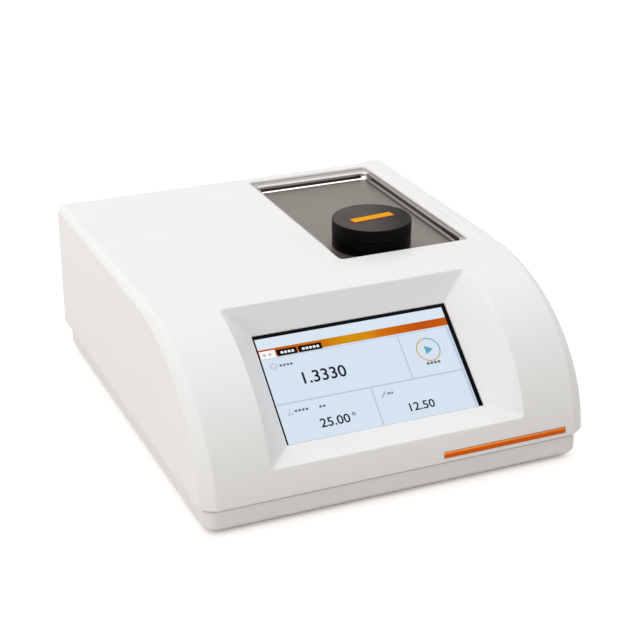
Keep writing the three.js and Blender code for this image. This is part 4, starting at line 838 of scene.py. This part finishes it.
def make_strip():
    """The accent strip: a rod that follows the nose, with a sloping upper edge and rounded ends."""
    skin = Skin()
    x0, x1, low, high, end, behind = 33.9, 136.1, 26.1, 30.45, 1.1, -180.7
    # shares of the height, from the bottom up, and how far each stands out of the nose
    profile = [(0.0, -0.4), (0.02, 0.1), (0.06, 0.35), (0.14, 0.5), (0.3, 0.58), (0.48, 0.6), (0.58, 0.56),
               (0.66, 0.45), (0.76, 0.22), (0.88, -0.08), (0.96, -0.3), (1.0, -0.5)]
    ends = [(end * (1 - c), s) for s, c in quarter_turn(6)]
    stations = [(x0 + d, full) for d, full in ends] + [(x1 - d, full) for d, full in reversed(ends)]
    rows = []
    for x, full in stations:
        loop = []
        for share, out in profile:
            z = (low + high) / 2 + (high - low) * (share - 0.5) * (0.7 + 0.3 * full)
            y = nose_point(math.asin((z - CENTRE_Z) / NOSE_H))[0]
            loop.append((x, y - ((out + 0.4) * full - 0.4), z))
        rows.append(skin.row(loop + [(x, behind, high), (x, behind, low)]))
    # the faces of the sloping upper edge take the lighter orange, a painted highlight
    skin.loft(rows, lambda i, k: int(8 <= i <= 10))
    skin.build("accent_rod", [ORANGE, PAINTED_HIGHLIGHT_ORANGE], slot="accent_orange", stands_for=["accent_strip"])


make_strip()

# The screen's picture: flat figures just over the glass, each layer a little higher than the one under it

GLASS_Z = -1.5
PAGE, BAR, SIDE, RULE, STRIPE, FIGURE, MARK = 0.02, 0.04, 0.045, 0.05, 0.06, 0.08, 0.1
LEFT, RIGHT, BOTTOM, TOP = -76.9, 77.8, -44.0, 41.7


def linear(r, g, b):
    return [((c / 255 + 0.055) / 1.055) ** 2.4 if c > 10 else c / 255 / 12.92 for c in (r, g, b)]


def lit(name, colour_of, base, strength):
    """A lit part of the picture: its own light shows its colour, under a face with little gloss."""
    made, tree, shader = new_material("picture_" + name)
    tree.links.new(colour_of(tree), shader.inputs["Emission Color"])
    tree.links.new(ranged(tree, noise(tree, 400), 0.1, 0.13), shader.inputs["Roughness"])
    shader.inputs["Emission Strength"].default_value = strength
    shader.inputs["Base Color"].default_value = (*base, 1)
    shader.inputs["Specular IOR Level"].default_value = 0.02
    return made


def shown(name, rgb, blotch=0.01):
    colour = linear(*rgb)
    return lit(name, lambda tree: varied(tree, colour, blotch, 30), [c * 0.03 for c in colour], 0.98)


def orange_band(tree):
    """The band's colour by the place across the screen."""
    across = node(tree, "SeparateXYZ", [("Vector", object_coordinates(tree))])
    reach = node(tree, "MapRange", [("Value", across.outputs["X"]), ("From Min", -0.077), ("From Max", 0.078)])
    stops = ((0.0, (196, 74, 12)), (0.34, (204, 118, 2)), (0.43, (210, 144, 6)), (0.56, (211, 141, 8)),
             (0.64, (208, 110, 3)), (0.84, (192, 79, 4)), (1.0, (196, 84, 5)))
    return ramp(tree, reach.outputs["Result"], [(place, linear(*rgb)) for place, rgb in stops])


def picture_piece(name, points, faces, look):
    made = piece(name, points, faces, look, slot="screen_glass", smooth=False, tidy=False)
    for face in made.data.polygons:
        if face.normal.z < 0:
            face.flip()


def flat(name, shapes, look, z=FIGURE):
    """Flat figures: lists of (x, y) corners in the screen's frame, at one height over the glass."""
    skin = Skin()
    for corners in shapes:
        skin.face(skin.row(on_screen(x, y, GLASS_Z + z) for x, y in corners))
    picture_piece(name, skin.points, skin.faces, look)


def box(x0, y0, x1, y1):
    return [(x0, y0), (x1, y0), (x1, y1), (x0, y1)]


def boxes(x, y, count, pitch, width, height):
    """A row of small boxes, as plain marks in place of words."""
    return [box(x + k * pitch, y, x + k * pitch + width, y + height) for k in range(count)]


def arc(cx, cy, inner, outer, start, stop, steps=40):
    quads = []
    for i in range(steps):
        a, b = (math.radians(start + (stop - start) * k / steps) for k in (i, i + 1))
        quads.append([(cx + r * math.cos(t), cy + r * math.sin(t))
                      for r, t in ((inner, a), (outer, a), (outer, b), (inner, b))])
    return quads


def numerals(name, text, x, y, height, width, look):
    """Plain numerals, their lower left corner at x, y."""
    curve = bpy.data.curves.new(name + "_curve", "FONT")
    curve.body = text
    curve.resolution_u = 4
    curve.offset = 0.014
    drawn = bpy.data.objects.new(name + "_curve", curve)
    bpy.context.scene.collection.objects.link(drawn)
    bpy.context.view_layer.update()
    mesh = drawn.to_mesh()
    xs, ys = [v.co.x for v in mesh.vertices], [v.co.y for v in mesh.vertices]
    sx, sy = width / (max(xs) - min(xs)), height / (max(ys) - min(ys))
    points = [on_screen(x + (a - min(xs)) * sx, y + (b - min(ys)) * sy, GLASS_Z + FIGURE) for a, b in zip(xs, ys)]
    faces = [list(p.vertices) for p in mesh.polygons]
    drawn.to_mesh_clear()
    bpy.data.objects.remove(drawn)
    bpy.data.curves.remove(curve)
    picture_piece(name, points, faces, look)


def make_picture():
    ink, grey = shown("ink", (22, 26, 40)), shown("grey", (92, 104, 120))
    dark, light = shown("tab_dark", (20, 12, 12)), shown("tab_light", (246, 247, 249))
    teal = shown("teal", (98, 168, 188))
    flat("screen_page", [box(LEFT, BOTTOM, RIGHT, TOP)], shown("page", (213, 226, 240), 0.012), PAGE)
    flat("screen_bar", [box(LEFT, 32.8, RIGHT, TOP)], shown("bar", (217, 229, 242)), BAR)
    flat("screen_band", [box(LEFT, 26.1, RIGHT, 32.8)], lit("band", orange_band, (0.02, 0.005, 0.0), 0.97), STRIPE)

    flat("screen_tab_light", [box(-76.6, 25.2, -64.2, 31.4)], light)
    flat("screen_tabs_dark", [box(-63.2, 25.5, -47.2, 30.9), box(-46.0, 25.5, -27.2, 30.9)], dark)
    flat("screen_tab_marks", boxes(-60.2, 27.2, 4, 2.85, 2.0, 1.9) + boxes(-43.1, 27.2, 5, 2.9, 2.05, 1.9), light,
         MARK)
    flat("screen_tab_marks_rose", boxes(-74.2, 27.2, 2, 4.5, 2.0, 1.9), shown("rose", (206, 160, 160)), MARK)
    rules = [box(-75.8, -13.1, 75.6, -11.8), box(33.3, -12, 34.5, 24.6), box(-1.8, BOTTOM, -0.6, -12.5),
             box(75.1, BOTTOM, 75.8, 25.0), box(-76.6, 24.6, 75.9, 25.2)]
    flat("screen_rules", rules, shown("rule", (188, 200, 222)), RULE)
    flat("screen_side", [box(75.8, BOTTOM, RIGHT, 25.1)], shown("edge", (190, 206, 226)), SIDE)

    numerals("screen_reading", "1.3330", -50.0, 0.0, 9.8, 34.6, ink)
    numerals("screen_temperature", "25.00", -48.4, -36.1, 7.2, 23.6, ink)
    flat("screen_degree", arc(-21.0, -30.2, 0.8, 1.4, 0, 360, 24), ink)
    numerals("screen_second", "12.50", 23.3, -37.4, 6.7, 20.6, ink)

    # a ring with a play icon, marks under it and before each reading, and three small icons
    x, y = 54.6, 8.9
    flat("screen_ring_teal", arc(x, y, 8.9, 9.8, -18, 96), teal)
    flat("screen_ring_amber", arc(x, y, 8.9, 9.8, 96, 342, 80), shown("amber", (214, 160, 84)))
    flat("screen_play", [[(x - 2.7, y - 3.7), (x - 2.7, y + 3.7), (x + 3.9, y)]], teal)
    flat("screen_marks_ink", boxes(49.2, -3.3, 4, 3.05, 2.2, 2.0), grey)
    marks = (boxes(-64.3, 17.2, 4, 2.8, 1.9, 1.7) + boxes(-64.4, -20.2, 4, 2.9, 2.0, 1.7)
             + boxes(-45.0, -20.5, 2, 2.9, 2.0, 1.7) + boxes(9.9, -20.7, 3, 1.75, 1.2, 1.7))
    flat("screen_marks_grey", marks, grey)
    icons = arc(-68.8, 18.0, 2.1, 2.6, 0, 360, 32) + arc(-68.8, 18.0, 0.9, 1.3, 200, 340, 12)
    icons += [box(-68.4, -20.0, -67.9, -17.3), [(-70.6, -21.6), (-69.9, -21.6), (-67.9, -19.6), (-68.5, -19.6)],
              [(-66.2, -21.6), (-65.5, -21.6), (-67.9, -19.6), (-68.4, -19.6)], box(-70.6, -21.9, -65.5, -21.4)]
    icons += [[(4.9, -21.5), (5.8, -22.3), (9.0, -18.4), (8.1, -17.6)], [(4.2, -22.6), (4.9, -21.5), (5.8, -22.3)]]
    flat("screen_icons", icons, shown("faint", (150, 178, 190)))


make_picture()

# CAD nodes that stay in view, by their finish, and some of them by the width of their softened edges

STAYING = (
    (GLASS_FACE, "touch_glass"),
    (ALUMINIUM, "display_panel display_bracket optics_housing optics_bracket heat_sink power_supply"),
    (BOARD, "display_board sensor_board main_board"),
    (MOUNT, "prism_mount"),
    (CRYSTAL, "prism collimator_lens focusing_lens"),
    (RUBBER, "prism_seal"),
    (DARK, "light_source image_sensor fan_frame fan_rotor power_inlet fuse_drawer switch_body"),
    (CERAMIC, "peltier_plate"),
    (PANEL, "rear_panel"),
    (AMBER, "switch_rocker"),
    (CONNECTOR, "usb_port_left usb_port_right serial_port"),
    (BRASS, "inlet_blade_left inlet_blade_right inlet_blade_earth standoff_1 standoff_2 standoff_3 standoff_4"),
)
SOFT_EDGES = (
    (0.15, "prism_mount usb_port_left usb_port_right"),
    (0.2, "fan_rotor"),
    (0.25, "rear_panel serial_port"),
    (0.3, "fan_frame fuse_drawer switch_body"),
    (0.35, "power_inlet switch_rocker"),
    (0.4, "optics_housing"),
    (0.6, "power_supply"),
)


def dress_nodes():
    for look, names in STAYING:
        for name in names.split():
            NODES[name].data.materials.clear()
            NODES[name].data.materials.append(look)
    for width, names in SOFT_EDGES:
        for name in names.split():
            soft = NODES[name].modifiers.new("soft_edges", "BEVEL")
            soft.width, soft.segments, soft.limit_method = width * MM, 2, "ANGLE"
            soft.angle_limit = math.radians(35)
            soft.harden_normals = False


dress_nodes()

# Rear details: the panel's screws, and the serial port's posts and two rows of pins

SERIAL_X, SERIAL_Z, SERIAL_PITCH = -11, 54.5, 2.76


def make_rear_details():
    for k, (x, z) in enumerate(((-116.0, 108.5), (116.0, 108.5), (-116.0, 39.5), (116.0, 39.5))):
        screw(f"rear_screw_{k + 1}", (x, PANEL_Y, z), TO_REAR, 2.9, 1.5)
    post = [(0, 0), (2.6, 0), (2.6, 4.6), (1.9, 4.6), (1.9, 1.2), (0, 1.2)]
    for k, x in enumerate((SERIAL_X - 12.3, SERIAL_X + 12.3)):
        lathe(f"jack_post_{k + 1}", post, CONNECTOR, (x, PANEL_Y + 1.25, SERIAL_Z), 6, turn=turn_to(TO_REAR))
    pin = [(0, 0), (0.5, 0), (0.5, 5.4), (0.35, 5.8), (0, 5.9)]
    for row, (count, z) in enumerate(((5, SERIAL_Z + 1.4), (4, SERIAL_Z - 1.4))):
        for k in range(count):
            x = SERIAL_X + (k - (count - 1) / 2) * SERIAL_PITCH
            lathe(f"serial_pin_{row}{k}", pin, BRASS, (x, PANEL_Y - 0.3, z), 12, turn=turn_to(TO_REAR))


make_rear_details()

# Floor, light and camera, in metres

FLOOR_COLOUR = (0.66, 0.625, 0.59)
# the floor's white, by the distance outside a box under the base: dark in the gap, a painted contact shadow along
# the base's foot, even round it
FLOOR_WHITE = ((0.0, 0.0), (0.0055, 0.06), (0.0095, 0.57), (0.15, 0.57), (1.0, 1.0))
GAP_HALF, GAP_SHIFT = (0.137, 0.1625, 0), (0, 0.0025, 0)
WORLD_LIGHT = 0.4


def seen_directly(tree):
    """1 for rays from the camera and for glossy and transmission rays, 0 for the others."""
    path = node(tree, "LightPath").outputs
    first = node(tree, "Math", [(0, path["Is Camera Ray"]), (1, path["Is Glossy Ray"])], operation="MAXIMUM")
    second = node(tree, "Math", [(0, first.outputs[0]), (1, path["Is Transmission Ray"])], operation="MAXIMUM")
    return second.outputs[0]


def make_floor():
    size = 6000.0  # in millimetres
    floor = piece("floor", [(-size, -size, 0), (size, -size, 0), (size, size, 0), (-size, size, 0)], [[0, 1, 2, 3]],
                  [], body=None, smooth=False, tidy=False)
    look, tree, shader = new_material("floor_paper")
    for socket, value in (("Base Color", (*FLOOR_COLOUR, 1)), ("Roughness", 0.9), ("Specular IOR Level", 0.0),
                          ("Emission Color", (1, 1, 1, 1))):
        shader.inputs[socket].default_value = value
    last = object_coordinates(tree)
    for operation, value in (("ADD", GAP_SHIFT), ("ABSOLUTE", None), ("SUBTRACT", GAP_HALF), ("MAXIMUM", (0, 0, 0))):
        last = node(tree, "VectorMath", [(0, last)] + ([(1, value)] if value else []),
                    operation=operation).outputs["Vector"]
    reach = node(tree, "VectorMath", [(0, last)], operation="LENGTH").outputs["Value"]
    white = ramp(tree, reach, [(place, (level, level, level)) for place, level in FLOOR_WHITE])
    share = node(tree, "Math", [(0, seen_directly(tree)), (1, white)], operation="MULTIPLY")
    tree.links.new(share.outputs[0], shader.inputs["Emission Strength"])
    floor.data.materials.append(look)


def make_world():
    world = bpy.data.worlds.new("studio")
    bpy.context.scene.world = world
    world.use_nodes = True
    tree = world.node_tree
    back = next(n for n in tree.nodes if n.type == "BACKGROUND")
    back.inputs["Color"].default_value = (1, 1, 1, 1)
    level = node(tree, "MapRange", [("Value", seen_directly(tree)), ("To Min", WORLD_LIGHT), ("To Max", 1.0)])
    tree.links.new(level.outputs["Result"], back.inputs["Strength"])


def lamp(name, place, target, size, watts):
    data = bpy.data.lights.new(name, "AREA")
    data.shape, data.size, data.size_y, data.energy = "RECTANGLE", size[0], size[1], watts
    made = bpy.data.objects.new(name, data)
    made.location = place
    made.rotation_mode = "QUATERNION"
    made.rotation_quaternion = (Vector(target) - Vector(place)).to_track_quat("-Z", "Y")
    bpy.context.scene.collection.objects.link(made)


make_floor()
make_world()
lamp("lamp_top", (0.1, 0.35, 1.9), (0, 0, 0.1), (2.6, 2.4), 22.8)
lamp("lamp_left", (-1.6, -1.2, 0.95), (0, 0, 0.08), (3.4, 2.6), 26)
lamp("lamp_back", (-1.3, 2.0, 1.2), (0, 0, 0.08), (2.0, 1.6), 6.5)
lamp("lamp_right", (2.1, -0.2, 0.95), (0, 0, 0.08), (1.8, 1.5), 3.4)

EYE = (-0.4569, -1.0876, 0.5925)
YAW, PITCH = math.radians(23.38), math.radians(23.95)
SENSOR, FOCAL_PIXELS, PIXELS = 36, 1596.8, 640


def make_camera():
    ahead = Vector((math.sin(YAW) * math.cos(PITCH), math.cos(YAW) * math.cos(PITCH), -math.sin(PITCH)))
    right = Vector((math.cos(YAW), -math.sin(YAW), 0))
    camera = bpy.data.objects.new("camera", bpy.data.cameras.new("camera"))
    bpy.context.scene.collection.objects.link(camera)
    camera.data.sensor_width = SENSOR
    camera.data.lens = SENSOR * FOCAL_PIXELS / PIXELS
    camera.data.clip_start, camera.data.clip_end = 0.05, 60
    axes = Matrix((right, right.cross(ahead), -ahead)).transposed().to_4x4()
    camera.matrix_world = Matrix.Translation(EYE) @ axes
    bpy.context.scene.camera = camera


make_camera()
bpy.context.scene.view_settings.view_transform = "Standard"

bpy.context.view_layer.update()
